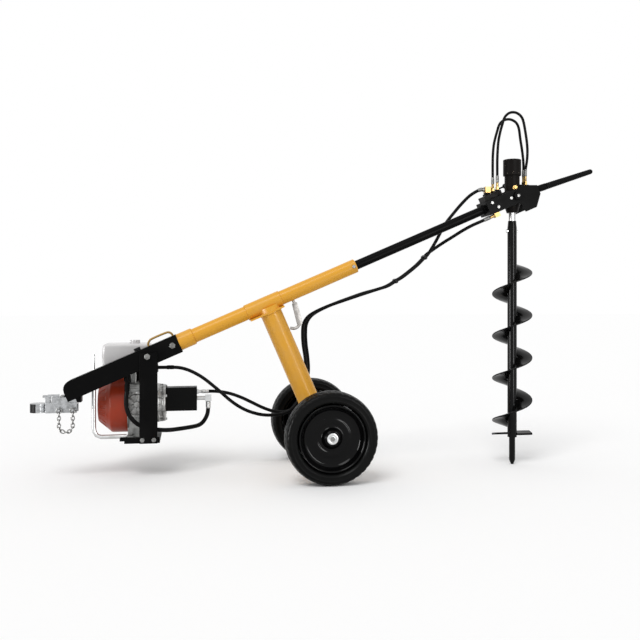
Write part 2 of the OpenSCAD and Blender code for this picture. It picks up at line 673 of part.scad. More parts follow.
muffler_wall = 3;
module muffler() color("#8f9190") placed() difference() {
    box([case_x0 + 62, top_box_y0, top_box_z0], [case_x1 - 4, top_box_y1, top_box_z1]);
    box([case_x0 + 62 + muffler_wall, top_box_y0 + muffler_wall, top_box_z0 + muffler_wall],
        [case_x1 - 4 - muffler_wall, top_box_y1 - muffler_wall, top_box_z1 - muffler_wall]);
    translate([case_x0 + 94, 0, top_box_z1 - 24]) along_y(top_box_y1 - 10, top_box_y1 + 1, 10);
}
module air_cleaner() color("#232427") placed()
    box([case_x0 + 2, top_box_y0, top_box_z0], [case_x0 + 56, top_box_y1, top_box_z1]);

module fan_shroud() color("#b3392b") placed() about_crank([[0, shroud_x0], [recoil_r0, shroud_x0],
    [recoil_r1, recoil_x1], [shroud_r, fan_x0], [shroud_r, case_x0], [shroud_r - shell_t, case_x0],
    [shroud_r - shell_t, fan_x0 + 2], [recoil_r1 - shell_t, recoil_x1 + 3], [recoil_r0 - shell_t, shroud_x0 + shell_t],
    [0, shroud_x0 + shell_t]]);

tank_wall = 4;
neck_r = 17;
module tank_shape(inset) hull()
    for (x = [tank_x0 + tank_round, tank_x1 - tank_round], y = [tank_y0 + tank_round, tank_y1 - tank_round]) {
        translate([x, y, tank_z0 + inset])
            cylinder(r = tank_round - inset, h = tank_z1 - tank_z0 - 10 - 2 * inset, $fn = 32);
        translate([x, y, tank_z1 - 1 - inset]) cylinder(r = tank_round - 10 - inset, h = 1, $fn = 32);
    }
module fuel_tank() color("#d9d9d5") placed() difference() {
    tank_shape(0);
    tank_shape(tank_wall);
    translate([cap_x, cap_y, tank_z1 - 20]) cylinder(r = neck_r, h = 30, $fn = 32);
}
module fuel_cap() color("#c9c9c5") placed() translate([cap_x, cap_y, tank_z1]) difference() {
    cylinder(r = cap_r, h = cap_h);
    for (a = [0 : 30 : 330]) rotate(a) translate([cap_r + 1, 0, 4]) cylinder(r = 3, h = cap_h);
}

module throttle_lever() color("#2a2b2e") placed() translate([throttle_x, 0, throttle_z]) difference() {
    union() {
        along_y(case_y0 - 2 - throttle_t, case_y0 - 2, 10);
        box([-5, case_y0 - 2 - throttle_t, 0], [5, case_y0 - 2, 44]);
    }
    along_y(case_y0 - 20, case_y0, throttle_pin_r + run_gap);
}

throw_r = 45;
throw_t = 18;
throw = 26;
crank_mid = (case_x0 + case_x1) / 2;
module crankshaft() color("#8c8e90") placed() translate([0, eng_y, eng_z]) {
    along_x(shroud_x0 + 50, crank_mid - 10, crank_r);
    along_x(crank_mid + 10, bell_x1 - 30, crank_r);
    along_x(bell_x1 - 31, pump_x1 + 12, pump_shaft_r);
    for (x = [crank_mid - 10 - throw_t, crank_mid + 10]) along_x(x, x + throw_t, throw_r);
    translate([0, 0, throw]) along_x(crank_mid - 11, crank_mid + 11, crank_r - 1);
}

fly_t = 26;
fly_x0 = fan_x0 + 7;
fly_x1 = fly_x0 + fly_t;
fly_r = 92;
blade_count = 12;
module flywheel() color("#77797b") placed() translate([0, eng_y, eng_z]) difference() {
    union() {
        along_x(fly_x0, fly_x1, fly_r);
        for (i = [0 : blade_count - 1]) rotate([i * 360 / blade_count, 0, 0])
            box([fly_x0 - 14, 50, -1.5], [fly_x0 + 1, fly_r, 1.5]);
    }
    along_x(fly_x0 - 20, fly_x1 + 1, crank_r + slip);
}

// Pump
pump_low = eng_z - 36;
pump_high = eng_z + pump_gap + 36;
pump_half = 50;
pump_cut = 14;
driven_z = eng_z + pump_gap;
pump_outline = [[-pump_half, pump_low], [pump_half, pump_low], [pump_half, pump_high - pump_cut],
    [pump_half - pump_cut, pump_high], [-pump_half + pump_cut, pump_high], [-pump_half, pump_high - pump_cut]];
gear_x1 = pump_x1 - 0.3;
cavity_x0 = pump_x1 - pump_gear_w - 0.6;
cover_x1 = pump_x1 + pump_cover_t;
outlet_z = eng_z + 50;
inlet_z = eng_z + 18;

module bell_housing() color("#a9abaa") placed() about_crank([[pump_shaft_r + 6, bell_x1], [bell_r0 - 6, bell_x1],
    [bell_r0, bell_x1 - 10], [bell_r0, case_x1], [bell_r0 - shell_t, case_x1], [bell_r0 - shell_t, bell_x1 - 12],
    [bell_r0 - 12, bell_x1 - 6], [pump_shaft_r + 6, bell_x1 - 6]]);

module pump_body() color("#1c1d1f") placed() translate([0, eng_y, 0]) difference() {
    drawn_x(pump_x0, pump_x1) polygon(pump_outline);
    for (z = [eng_z, driven_z]) translate([0, 0, z]) along_x(cavity_x0, pump_x1 + 1, gear_out + 0.4);
    translate([0, 0, eng_z]) along_x(pump_x0 - 1, pump_x1, pump_shaft_r + run_gap);
    translate([0, 0, driven_z]) along_x(cavity_x0 - 20, pump_x1, pump_shaft_r + run_gap);
}

module pump_cover() color("#202124") placed() translate([0, eng_y, 0]) difference() {
    drawn_x(pump_x1, cover_x1) polygon(pump_outline);
    for (z = [eng_z, driven_z]) translate([0, 0, z]) along_x(pump_x1 - 1, pump_x1 + 13, pump_shaft_r + run_gap);
}

module drive_gear() color("#9c9ea0") placed() translate([0, eng_y, eng_z]) difference() {
    drawn_x(cavity_x0 + 0.3, gear_x1) polygon(gear_points(pump_teeth, gear_out, gear_root, 90));
    along_x(cavity_x0, pump_x1, pump_shaft_r + slip);
}

module driven_gear() color("#9c9ea0") placed() translate([0, eng_y, driven_z]) {
    drawn_x(cavity_x0 + 0.3, gear_x1)
        polygon(gear_points(pump_teeth, gear_out, gear_root, 270 + 180 / pump_teeth));
    along_x(cavity_x0 - 19, pump_x1 + 12, pump_shaft_r);
}

hose_r = hose_d / 2;
suction_r = suction_d / 2;
elbow = 15;
outlet_len = 22;
inlet_x = cover_x1 + 54;
suction_fit = 22;
return_fit = 38;
return_fit_z = return_low - 10;

// Yoke and handle
yoke_u0 = ext_end;
yoke_end_t = 12;
yoke_out = yoke_in / 2 + yoke_t;
web_out = 106;
web_t = 10;
web_top = 10;
web_u0 = pivot_u + web_out;
web_u1 = web_u0 + web_t;
ear_u0 = pivot_u + 12;
ear_u1 = pivot_u + 72;
ear_low = -88;
boss_r = handle_r + 7;
boss_end = 184;
module handle_line() translate([pivot_x, 0, pivot_z]) rotate([0, -handle_a, 0]) children();

module yoke() color("#151618") placed() difference() {
    union() {
        for (y = [-yoke_out, yoke_in / 2]) on_boom(0, y + yoke_t, 0) rotate([90, 0, 0]) linear_extrude(yoke_t)
            polygon([[yoke_u0, -yoke_h / 2], [ear_u0 - 12, -yoke_h / 2], [ear_u0, ear_low], [ear_u1, ear_low],
                [web_u1, -yoke_h / 2], [web_u1, web_top], [ear_u1 - 17, yoke_h / 2], [yoke_u0, yoke_h / 2]]);
        on_boom() box([yoke_u0, -yoke_out, -yoke_h / 2], [yoke_u0 + yoke_end_t, yoke_out, yoke_h / 2]);
        on_boom() box([web_u0, -yoke_out, -yoke_h / 2], [web_u1, yoke_out, web_top]);
        handle_line() along_x(web_out + 4, boss_end, boss_r);
    }
    handle_line() along_x(web_out + 14, boss_end + 1, handle_r + slip);
    translate([pivot_x, 0, pivot_z]) along_y(-yoke_out - 1, yoke_out + 1, trunnion_r + slip);
}

module handle_bar() color("#1a1b1d") placed() handle_line()
    along_x(web_out + 15, handle_reach - 4, handle_r);

module handle_grip() color("#111113") placed() handle_line() rotate([0, 90, 0]) rotate_extrude()
    polygon(concat([[0, handle_reach - 3], [handle_r + slip, handle_reach - 3],
        [handle_r + slip, handle_reach - grip_len], [grip_root_r, handle_reach - grip_len]],
        [for (a = [0 : 10 : 90]) [grip_r * cos(a), handle_reach + grip_r * sin(a)]]));

// Control valve
valve_u0 = yoke_u0 + yoke_end_t;
valve_u1 = valve_u0 + 94;
valve_half = 40;
valve_low = -28;
valve_top = 60;
valve_cut = 22;
loop_r = loop_d / 2;
loop_port = along(valve_u1 - 12, valve_top + 6);
loop_port_y = 30;
loop_fit = 34;
return_boss = along(valve_u0 + 54.4, valve_top + 22.4);
return_boss_y = 20;
feed_y = -20;
feed_w = -yoke_h / 2 - 11;
boss_deep = 40;
lever_u = valve_u0 + 45;
lever_y = 50;
lever_w = 60;
lever_pin_r = 4;
lever_len = 125;
lever_out = 22;
lever_pin_h = 14;
lever_t = 8;

module valve_body() color("#241f1c") placed() {
    on_boom(0, valve_half, 0) rotate([90, 0, 0]) linear_extrude(2 * valve_half)
        polygon([[valve_u0, valve_low], [valve_u1 - valve_cut, valve_low], [valve_u1, valve_low + valve_cut],
            [valve_u1, valve_top], [valve_u0, valve_top]]);
    on_boom() box([lever_u - 12, valve_half - 1, lever_w - 22], [lever_u + 12, lever_y + 10, lever_w]);
    for (s = [-1, 1]) translate([loop_port[0], s * loop_port_y, loop_port[1] - boss_deep])
        cylinder(r = 1.6 * loop_r, h = boss_deep);
    translate([return_boss[0], return_boss_y, return_boss[1] - elbow - boss_deep])
        cylinder(r = elbow - 1, h = boss_deep);
    on_boom() translate([lever_u, lever_y, lever_w - 1]) cylinder(r = lever_pin_r, h = lever_pin_h + 1);
}

module valve_lever() color("#2b2c30") placed() on_boom(lever_u, lever_y, lever_w + 0.3) difference() {
    union() {
        cylinder(r = 11, h = lever_t);
        rotate(32) box([0, -5, 0], [lever_out / sin(32), 5, lever_t]);
        translate([0, lever_out, 0]) box([lever_out / tan(32) - 4, -5, 0], [lever_len, 5, lever_t]);
        translate([lever_len, lever_out, lever_t / 2]) sphere(r = 13);
    }
    translate([0, 0, -1]) cylinder(r = lever_pin_r + run_gap, h = lever_t + 2);
}

module hose_fittings() color("#c8b98a") placed() {
    translate([cover_x1, eng_y, outlet_z]) rotate([0, 90, 0]) fitting(outlet_len, hose_r);
    translate([0, eng_y, inlet_z]) along_x(cover_x1, inlet_x - elbow + 1, suction_r);
    translate([inlet_x, eng_y, inlet_z]) cube(2 * elbow, center = true);
    translate([inlet_x, eng_y, inlet_z - elbow - 1]) cylinder(r = suction_r, h = 2);
    translate([suction_port[0], suction_port[1], port_low]) rotate([180, 0, 0]) fitting(suction_fit, suction_r);
    box([return_port[0] - elbow, -elbow, return_low - 2 * elbow], [return_port[0] + elbow, elbow, return_low]);
    translate([return_port[0] + elbow, return_port[1], return_fit_z]) along_x(-1, return_fit, hose_r);
    for (s = [-1, 1]) translate([loop_port[0], s * loop_port_y, loop_port[1]]) fitting(loop_fit, loop_r);
    translate([return_boss[0], return_boss_y, return_boss[1]]) cube(2 * elbow, center = true);
    on_boom(0, feed_y, feed_w) {
        along_x(valve_u0 - 3, valve_u0 + 21, hose_r);
        box([valve_u0 + 20, -14, -12], [valve_u0 + 48, 14, valve_low - feed_w]);
    }
}

// Drill head
block_half_x = 46;
block_half_y = yoke_in / 2 - 0.5;
block_top = 25;
block_low = -20;
cone_low = -77;
cone_r0 = 45;
cone_r1 = 27;
seat_r = 24;
seat_low = -58;
can_low = 107;
body_top = 115;
rotor_r = 22;
rotor_z0 = 46;
rotor_z1 = 94;
ports_out = 78;
ports_top = 62;
ports_half = 26;
motor_fit = [65.4, 43.2];
motor_fit_y = [-10, 14];
module on_head() translate([pivot_x, 0, pivot_z]) children();

module head_block() color("#16171a") placed() on_head() difference() {
    union() {
        box([-block_half_x, -block_half_y, block_low], [block_half_x, block_half_y, block_top]);
        translate([0, 0, cone_low]) cylinder(r1 = cone_r1, r2 = cone_r0, h = block_low - cone_low + 1);
    }
    translate([0, 0, cone_low - 1]) cylinder(r = shaft_r + 1, h = block_top - cone_low + 2);
    translate([0, 0, seat_low]) cylinder(r = seat_r + run_gap, h = block_top - seat_low + 1);
    along_y(-block_half_y - 1, block_half_y + 1, trunnion_r + run_gap);
}

module head_bearing() color("#b5b7b8") placed() on_head() translate([0, 0, seat_low]) difference() {
    cylinder(r = seat_r, h = 26);
    translate([0, 0, -1]) cylinder(r = shaft_r + run_gap, h = 28);
}

module motor_body() color("#1d1e20") placed() on_head() difference() {
    union() {
        translate([0, 0, block_top]) cylinder(r = motor_r, h = body_top - block_top);
        box([0, -ports_half, block_top], [ports_out, ports_half, ports_top]);
    }
    translate([0, 0, block_top - 1]) cylinder(r = shaft_r + 1, h = rotor_z0 - block_top + 1);
    translate([0, 0, rotor_z0 - 2]) cylinder(r = rotor_r + 2, h = rotor_z1 - rotor_z0 + 4);
}

module motor_cap() color("#1a1b1c") placed() on_head() difference() {
    translate([0, 0, can_low]) cylinder(r = can_r, h = motor_top - can_low);
    translate([0, 0, can_low - 1]) cylinder(r = motor_r + slip, h = body_top - can_low + 1);
}

module motor_fittings() color("#c8c9c6") placed() on_head()
    for (y = motor_fit_y) translate([motor_fit[0], y, ports_top]) fitting(motor_fit[1], loop_r);

// Auger
hub_drop = 117;
hub_top = pivot_z - hub_drop;
hub_chamfer = 35;
socket_r = shaft_r + slip;
shaft_low = hub_top - 76;
pin_z = hub_top - 50;
auger_pin_r = 5;
stem_low = flight_low - 4;
collar_low = stem_low - 36;
plug_top = stem_low + 30;
stem_bore = 9;
tip_r = 6;
flight_steps = 24;
flight_zero = 329;
blade_z = flight_low - 22;
blade_t = 10;
blade_half = 20;
blade_pitch = 11;
module on_auger() translate([pivot_x, 0, 0]) children();

module motor_shaft() color("#d3d4d3") placed() on_auger() difference() {
    union() {
        translate([0, 0, shaft_low]) cylinder(r = shaft_r, h = pivot_z + rotor_z1 - shaft_low);
        translate([0, 0, pivot_z + rotor_z0]) linear_extrude(rotor_z1 - rotor_z0)
            polygon(gear_points(6, rotor_r, shaft_r - 2, 0));
    }
    translate([0, 0, pin_z]) along_x(-shaft_r - 1, shaft_r + 1, auger_pin_r + slip);
}

module auger_stem() color("#141516") placed() on_auger() difference() {
    union() {
        translate([0, 0, stem_low]) cylinder(r = stem_r, h = hub_top - hub_chamfer - stem_low);
        translate([0, 0, hub_top - hub_chamfer]) cylinder(r1 = stem_r, r2 = socket_r + 2.5, h = hub_chamfer);
    }
    translate([0, 0, stem_low - 1]) cylinder(r = socket_r, h = plug_top - stem_low + 1);
    translate([0, 0, stem_low]) cylinder(r = stem_bore, h = hub_top - stem_low);
    translate([0, 0, shaft_low - 1]) cylinder(r = socket_r, h = hub_top - shaft_low + 2);
    translate([0, 0, pin_z]) along_x(-stem_r - 1, stem_r + 1, auger_pin_r + slip);
}

module auger_pin() color("#c9cbca") placed() on_auger() translate([0, 0, pin_z]) {
    along_x(-stem_r - 6, stem_r + 6, auger_pin_r);
    translate([-stem_r, 0, 0]) rotate([0, -90, 0]) cylinder(r = 9, h = 7, $fn = 6);
}

module auger_flight() color("#121314") placed() on_auger() {
    inner = stem_r / cos(180 / flight_steps) + 0.05;
    count = round((flight_high - flight_low) / pitch * flight_steps);
    rise = pitch / flight_steps;
    start = 360 * (flight_low - flight_zero) / pitch;
    corners = [[inner, 0], [flight_r, 0], [flight_r, flight_t], [inner, flight_t]];
    points = [for (i = [0 : count], c = corners)
        let (a = start + 360 * i / flight_steps) [c[0] * cos(a), c[0] * sin(a), flight_low + i * rise + c[1]]];
    sides = [for (i = [0 : count - 1], k = [0 : 3])
        let (n = (k + 1) % 4, a = 4 * i, b = a + 4)
        each [[a + k, a + n, b + n], [a + k, b + n, b + k]]];
    last = 4 * count;
    ends = [[0, 2, 1], [0, 3, 2], [last, last + 1, last + 2], [last, last + 2, last + 3]];
    polyhedron(points, concat(sides, ends));
}

module cutting_head() color("#2a2b2d") placed() on_auger() {
    cylinder(r1 = tip_r, r2 = pilot_r, h = 22);
    translate([0, 0, 21.9]) cylinder(r = pilot_r, h = collar_low - 21);
    translate([0, 0, collar_low]) cylinder(r = stem_r, h = stem_low - collar_low);
    translate([0, 0, stem_low - 1]) cylinder(r = socket_r - slip, h = plug_top - stem_low);
    for (s = [0, 180]) translate([0, 0, blade_z]) rotate(s) rotate([blade_pitch, 0, 0])
        box([stem_r - 4, -blade_half, -blade_t / 2], [flight_r, blade_half, blade_t / 2]);
}

// Hoses and their ties
module return_hose() color("#17181a") placed() sweep(return_route, hose_r, 10);
module pressure_hose() color("#17181a") placed() sweep(pressure_route, hose_r, 10);
module suction_hose() color("#17181a") placed() sweep(suction_route, suction_r, 10);
module front_loop_hose() color("#17181a") placed() sweep(loop_a_route, loop_r, 10);
module rear_loop_hose() color("#17181a") placed() sweep(loop_b_route, loop_r, 10);

tie_len = 12;
tie_wall = 3;
tie_room = 0.3;
ties = [[380, 46, 908, 31], [527, 46, 1025, 45]];
tie_half_y = 12 + hose_r + tie_room;
tie_half_z = hose_r * sin(72) + tie_room;
module hose_ties() color("#0f0f10") placed()
    for (t = ties) translate([t[0], t[1], t[2]]) rotate([0, -t[3], 0]) difference() {
        cube([tie_len, 2 * tie_half_y + 2 * tie_wall, 2 * tie_half_z + 2 * tie_wall], center = true);
        cube([tie_len + 2, 2 * tie_half_y, 2 * tie_half_z], center = true);
    }

near_tyre();
far_tyre();
near_rim();
far_rim();
near_bushes();
far_bushes();
near_hub_cap();
far_hub_cap();
axle();
wheel_post();
boom_tube();
extension_tube();
hose_hook();
drawbar();
oil_cap();
lifting_bail();
coupler_body();
coupler_lever();
safety_chain();
hanger_bar();
engine_platform();
front_strut();
frame_bolts();
engine_block();
cylinder_head();
muffler();
air_cleaner();
fan_shroud();
fuel_tank();
fuel_cap();
throttle_lever();
crankshaft();
flywheel();
bell_housing();
pump_body();
pump_cover();
drive_gear();
driven_gear();
hose_fittings();
yoke();
handle_bar();
handle_grip();
valve_body();
valve_lever();
head_block();
head_bearing();
motor_body();
motor_cap();
motor_fittings();
motor_shaft();
auger_stem();
auger_pin();
auger_flight();
cutting_head();
return_hose();
pressure_hose();
suction_hose();
front_loop_hose();
rear_loop_hose();
hose_ties();
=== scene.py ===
import bpy
import bmesh
import json
import math
import numpy as np
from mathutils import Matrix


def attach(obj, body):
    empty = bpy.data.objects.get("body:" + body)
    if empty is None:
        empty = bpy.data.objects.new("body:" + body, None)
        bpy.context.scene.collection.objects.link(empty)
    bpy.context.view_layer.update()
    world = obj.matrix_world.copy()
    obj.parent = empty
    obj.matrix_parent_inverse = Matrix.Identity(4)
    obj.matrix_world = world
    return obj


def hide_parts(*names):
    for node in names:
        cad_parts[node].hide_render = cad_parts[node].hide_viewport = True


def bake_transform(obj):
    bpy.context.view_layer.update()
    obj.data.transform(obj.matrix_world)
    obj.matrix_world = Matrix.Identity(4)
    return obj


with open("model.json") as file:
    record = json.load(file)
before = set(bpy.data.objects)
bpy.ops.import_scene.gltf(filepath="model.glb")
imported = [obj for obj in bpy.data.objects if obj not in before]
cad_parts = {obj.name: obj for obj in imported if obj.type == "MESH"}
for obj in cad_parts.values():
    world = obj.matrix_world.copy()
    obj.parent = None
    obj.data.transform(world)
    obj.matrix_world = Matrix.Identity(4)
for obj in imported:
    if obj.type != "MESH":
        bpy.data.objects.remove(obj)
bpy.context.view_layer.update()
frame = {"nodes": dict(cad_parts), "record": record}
nodes = frame["nodes"]
bodyOf = {name: body for body, names in frame["record"]["behaviour"]["bodies"].items() for name in names}
slotOf = {part["node"]: part["material_slot"] for part in frame["record"]["subparts"]}
scene = bpy.context.scene
scene.view_settings.view_transform = "Standard"
print("frame loaded,", len(nodes), "nodes")


def newObject(name, data):
    made = bpy.data.objects.new(name, data)
    scene.collection.objects.link(made)
    return made


# camera at the photo's stand, level, its frame shifted a little down
camera = {"place": (-0.6535, -3.774, 0.815), "yaw": -9.3, "lens": 45.0, "shiftY": -0.03125}
viewLens = bpy.data.cameras.new("viewCamera")
viewLens.lens = camera["lens"]
viewLens.sensor_width = 36.0
viewLens.shift_y = camera["shiftY"]
viewCamera = newObject("viewCamera", viewLens)
viewCamera.location = camera["place"]
viewCamera.rotation_euler = (math.radians(90), 0, math.radians(camera["yaw"]))
scene.camera = viewCamera
print("camera set")


# measures in mm from the axle's line, as the drawing has them, to metres in the frame
frameGeometry = {"axleShift": 33.464, "tilt": 23.4, "boomX": -254.972, "boomZ": 796.195,
                 "pivot": (966.562, 0, 1324.802)}
boomCos = math.cos(math.radians(frameGeometry["tilt"]))
boomSin = math.sin(math.radians(frameGeometry["tilt"]))


def placed(points):
    return (np.asarray(points, float) - np.array([frameGeometry["axleShift"], 0, 0])) / 1000


# a point on the boom: u along it, y across, w square to it
def onBoom(u, y, w):
    u, y, w = np.broadcast_arrays(np.asarray(u, float), y, w)
    x = frameGeometry["boomX"] + u * boomCos - w * boomSin
    z = frameGeometry["boomZ"] + u * boomSin + w * boomCos
    return placed(np.stack([x, y, z], axis=-1))


# a grid of points made a skin: rows run one way and columns the other, and either may close on itself
def gridSkin(name, grid, closeRows=False, closeCols=False, capEnds=False):
    rows, cols = grid.shape[:2]
    rowSteps = np.arange(rows if closeRows else rows - 1)
    colSteps = np.arange(cols if closeCols else cols - 1)
    rr, cc = np.meshgrid(rowSteps, colSteps, indexing="ij")
    r2, c2 = (rr + 1) % rows, (cc + 1) % cols
    quads = np.stack([rr * cols + cc, rr * cols + c2, r2 * cols + c2, r2 * cols + cc], axis=-1).reshape(-1, 4)
    faces = quads.tolist()
    if capEnds:
        faces += [list(range(cols))[::-1], list(range((rows - 1) * cols, rows * cols))]
    mesh = bpy.data.meshes.new(name)
    mesh.from_pydata(grid.reshape(-1, 3).tolist(), [], faces)
    steps = np.linalg.norm(np.diff(grid, axis=0, append=grid[:1]), axis=2).mean(axis=1)
    along = np.concatenate([[0], np.cumsum(steps)])
    u = along[np.stack([rr, rr, rr + 1, rr + 1], axis=-1)]
    v = np.stack([cc, cc + 1, cc + 1, cc], axis=-1) / cols
    corners = np.zeros((len(mesh.loops), 2), np.float32)
    corners[:quads.size] = np.stack([u, v], axis=-1).reshape(-1, 2)
    mesh.uv_layers.new(name="along").data.foreach_set("uv", corners.ravel())
    return mesh


# a mesh changed in place by mesh operations
def edited(mesh, change):
    work = bmesh.new()
    work.from_mesh(mesh)
    change(work)
    work.to_mesh(mesh)
    work.free()


# a mesh made a piece: closed skins are turned outwards, shading is smooth up to the given angle
def pieceOf(name, mesh, material, body, slot, replaced=(), sharp=40, turn=True, ride=True):
    if turn:
        edited(mesh, lambda work: bmesh.ops.recalc_face_normals(work, faces=work.faces))
    mesh.polygons.foreach_set("use_smooth", np.ones(len(mesh.polygons), bool))
    mesh.set_sharp_from_angle(angle=math.radians(sharp))
    mesh.materials.append(material)
    piece = newObject(name, mesh)
    if ride:
        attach(piece, body)
    if replaced:
        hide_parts(*replaced)
    return piece


# a grid made a piece: a tube has its ends capped, a ring closes on itself both ways
def tubePiece(name, grid, *place, **more):
    return pieceOf(name, gridSkin(name, grid, closeCols=True, capEnds=True), *place, **more)


def ringPiece(name, grid, *place, **more):
    return pieceOf(name, gridSkin(name, grid, closeRows=True, closeCols=True), *place, **more)


def fullTurn(steps):
    return np.linspace(0, 2 * np.pi, steps, endpoint=False)


# axes for turning about a line: two directions square to it, then the line's own
axesX = ((0, 1, 0), (0, 0, 1), (1, 0, 0))


def axesY(side):
    return (1, 0, 0), (0, 0, 1), (0, side, 0)


# a profile turned about a line: rows follow the profile, columns go round
def turned(radii, heights, centre, axes, steps):
    across, over, along = np.asarray(axes, float)
    angle = fullTurn(steps)[:, None]
    spoke = np.cos(angle) * across + np.sin(angle) * over
    radii, heights = (np.asarray(v, float).reshape(len(v), -1) for v in (radii, heights))
    return np.asarray(centre, float) + radii[..., None] * spoke + heights[..., None] * along


# corners of a closed or open outline cut back twice, each cut at the given share of its side
def cutCorners(points, share, closed=True):
    points = np.asarray(points, float)
    for _ in range(2):
        nextPoints = np.roll(points, -1, axis=0)
        step = share * (nextPoints - points)
        pairs = np.stack([points + step, nextPoints - step], axis=1)
        if closed:
            points = pairs.reshape(-1, 2)
        else:
            points = np.vstack([points[:1], pairs[:-1].reshape(-1, 2), points[-1:]])
    return points


# a closed outline in mm, each side split into equal steps, in metres
def splitSides(profile, steps):
    spans = np.linspace(profile, np.roll(profile, -1, axis=0), steps, endpoint=False)
    return spans.transpose(1, 0, 2).reshape(-1, 2) / 1000


# bars evenly round a turn: 1 on a bar, 0 between, with a slope at each edge
def barsRound(count, steps, level, slope):
    turns = fullTurn(steps)
    return np.clip((np.cos(count * turns) - level) * slope, 0, 1)


# 1 well inside low to high, falling to 0 at both ends over a short way
def window(x, low, high, soft):
    return np.clip((x - low) / soft, 0, 1) * np.clip((high - x) / soft, 0, 1)


def between(x, ends):
    return (x > ends[0]) & (x < ends[1])


# a curve through all the given points, each span a cubic that leaves along its neighbours' line
def smoothRoute(points, perSpan):
    points = np.asarray(points, float)
    p = np.vstack([2 * points[:1] - points[1:2], points, 2 * points[-1:] - points[-2:-1]])
    t = np.linspace(0, 1, perSpan, endpoint=False)[None, :, None]
    a, b, c, d = p[:-3, None], p[1:-2, None], p[2:-1, None], p[3:, None]
    curve = 0.5 * (2 * b + (c - a) * t + (2 * a - 5 * b + 4 * c - d) * t ** 2
                   + (3 * b - a - 3 * c + d) * t ** 3)
    return np.vstack([curve.reshape(-1, 3), points[-1:]])


# rings square to a path, each with its own radius
def tubeGrid(path, radii, sides):
    ahead = np.gradient(path, axis=0)
    ahead /= np.linalg.norm(ahead, axis=1, keepdims=True)
    acrossY = np.abs(ahead[:, 1:2]) < 0.95
    reference = np.where(acrossY, np.array([0.0, 1.0, 0.0]), np.array([1.0, 0.0, 0.0]))
    side = reference - np.sum(reference * ahead, axis=1, keepdims=True) * ahead
    side /= np.linalg.norm(side, axis=1, keepdims=True)
    other = np.cross(ahead, side)
    angle = fullTurn(sides)
    ring = np.cos(angle)[None, :, None] * side[:, None] + np.sin(angle)[None, :, None] * other[:, None]
    return path[:, None] + np.broadcast_to(radii, len(path))[:, None, None] * ring


# several skins made one piece
def joinedPiece(name, skins, *place, **more):
    work = bmesh.new()
    for skin in skins:
        work.from_mesh(skin)
    mesh = bpy.data.meshes.new(name)
    work.to_mesh(mesh)
    work.free()
    return pieceOf(name, mesh, *place, **more)


# a hexagon head standing on a face, its top corners cut
hexShape = {"radii": (1, 1, 0.97, 0.86), "heights": (0.8, 0.92, 1), "sunk": -1}


def hexHead(name, centre, axes, radius, height):
    radii = radius * np.array(hexShape["radii"]) / 1000
    heights = np.append(hexShape["sunk"], height * np.array(hexShape["heights"])) / 1000
    return gridSkin(name, turned(radii, heights, centre, axes, 6), closeCols=True, capEnds=True)


# a box between two corners
def boxSkin(name, low, high):
    (x0, y0, z0), (x1, y1, z1) = placed(low), placed(high)
    loop = [(x0, y0), (x1, y0), (x1, y1), (x0, y1)]
    grid = np.array([[(x, y, z) for x, y in loop] for z in (z0, z1)])
    return gridSkin(name, grid, closeCols=True, capEnds=True)


def lengthsAlong(path):
    return np.concatenate([[0], np.cumsum(np.linalg.norm(np.diff(path, axis=0), axis=1))])


# points of a path at the given lengths along it
def pointsAt(path, at):
    s = lengthsAlong(path)
    return np.stack([np.interp(at, s, path[:, k]) for k in range(3)], axis=1)


# a node with its settings: inputs that are sockets are linked, other values are set
def addNode(tree, kind, inputs=(), **settings):
    node = tree.nodes.new("ShaderNode" + kind)
    for key, value in settings.items():
        setattr(node, key, value)
    for key, value in dict(inputs).items():
        if isinstance(value, bpy.types.NodeSocket):
            tree.links.new(value, node.inputs[key])
        else:
            node.inputs[key].default_value = value
    return node


def mathOf(tree, operation, first, second):
    return addNode(tree, "Math", {0: first, 1: second}, operation=operation).outputs[0]


def mixColours(tree, first, second, factor):
    first, second = (c if isinstance(c, bpy.types.NodeSocket) else (*c, 1) for c in (first, second))
    return addNode(tree, "Mix", {0: factor, 6: first, 7: second}, data_type="RGBA").outputs[2]


def rangeOf(tree, value, low, high):
    return addNode(tree, "MapRange", {"Value": value, "To Min": low, "To Max": high}).outputs["Result"]


# shader groups that several finishes share
def newGroup(name, labels):
    group = bpy.data.node_groups.new(name, "ShaderNodeTree")
    for label in labels:
        group.interface.new_socket(name=label, in_out="INPUT", socket_type="NodeSocketFloat")
    where = addNode(group, "TexCoord").outputs["Object"]
    return group, group.nodes.new("NodeGroupInput").outputs, where


def endGroup(group, results):
    for label in results:
        group.interface.new_socket(name=label, in_out="OUTPUT", socket_type="NodeSocketFloat")
    last = group.nodes.new("NodeGroupOutput")
    for label, socket in results.items():
        group.links.new(socket, last.inputs[label])
    return group


# fine grain, and patches of dirt where a broad noise is above a level; on the cast alloy these patches also
# carry painted shade
def makeWearGroup():
    group, given, where = newGroup("grainAndGrime", ["Grain Scale", "Grime Scale", "Grime Low", "Grime High"])
    grain = addNode(group, "TexNoise", {"Vector": where, "Scale": given["Grain Scale"], "Detail": 5})
    broad = addNode(group, "TexNoise", {"Vector": where, "Scale": given["Grime Scale"], "Detail": 7,
                                        "Roughness": 0.65})
    level = addNode(group, "MapRange", {"Value": broad.outputs["Fac"], "From Min": given["Grime Low"],
                                        "From Max": given["Grime High"]})
    return endGroup(group, {"Grain": grain.outputs["Fac"], "Grime": level.outputs["Result"]})


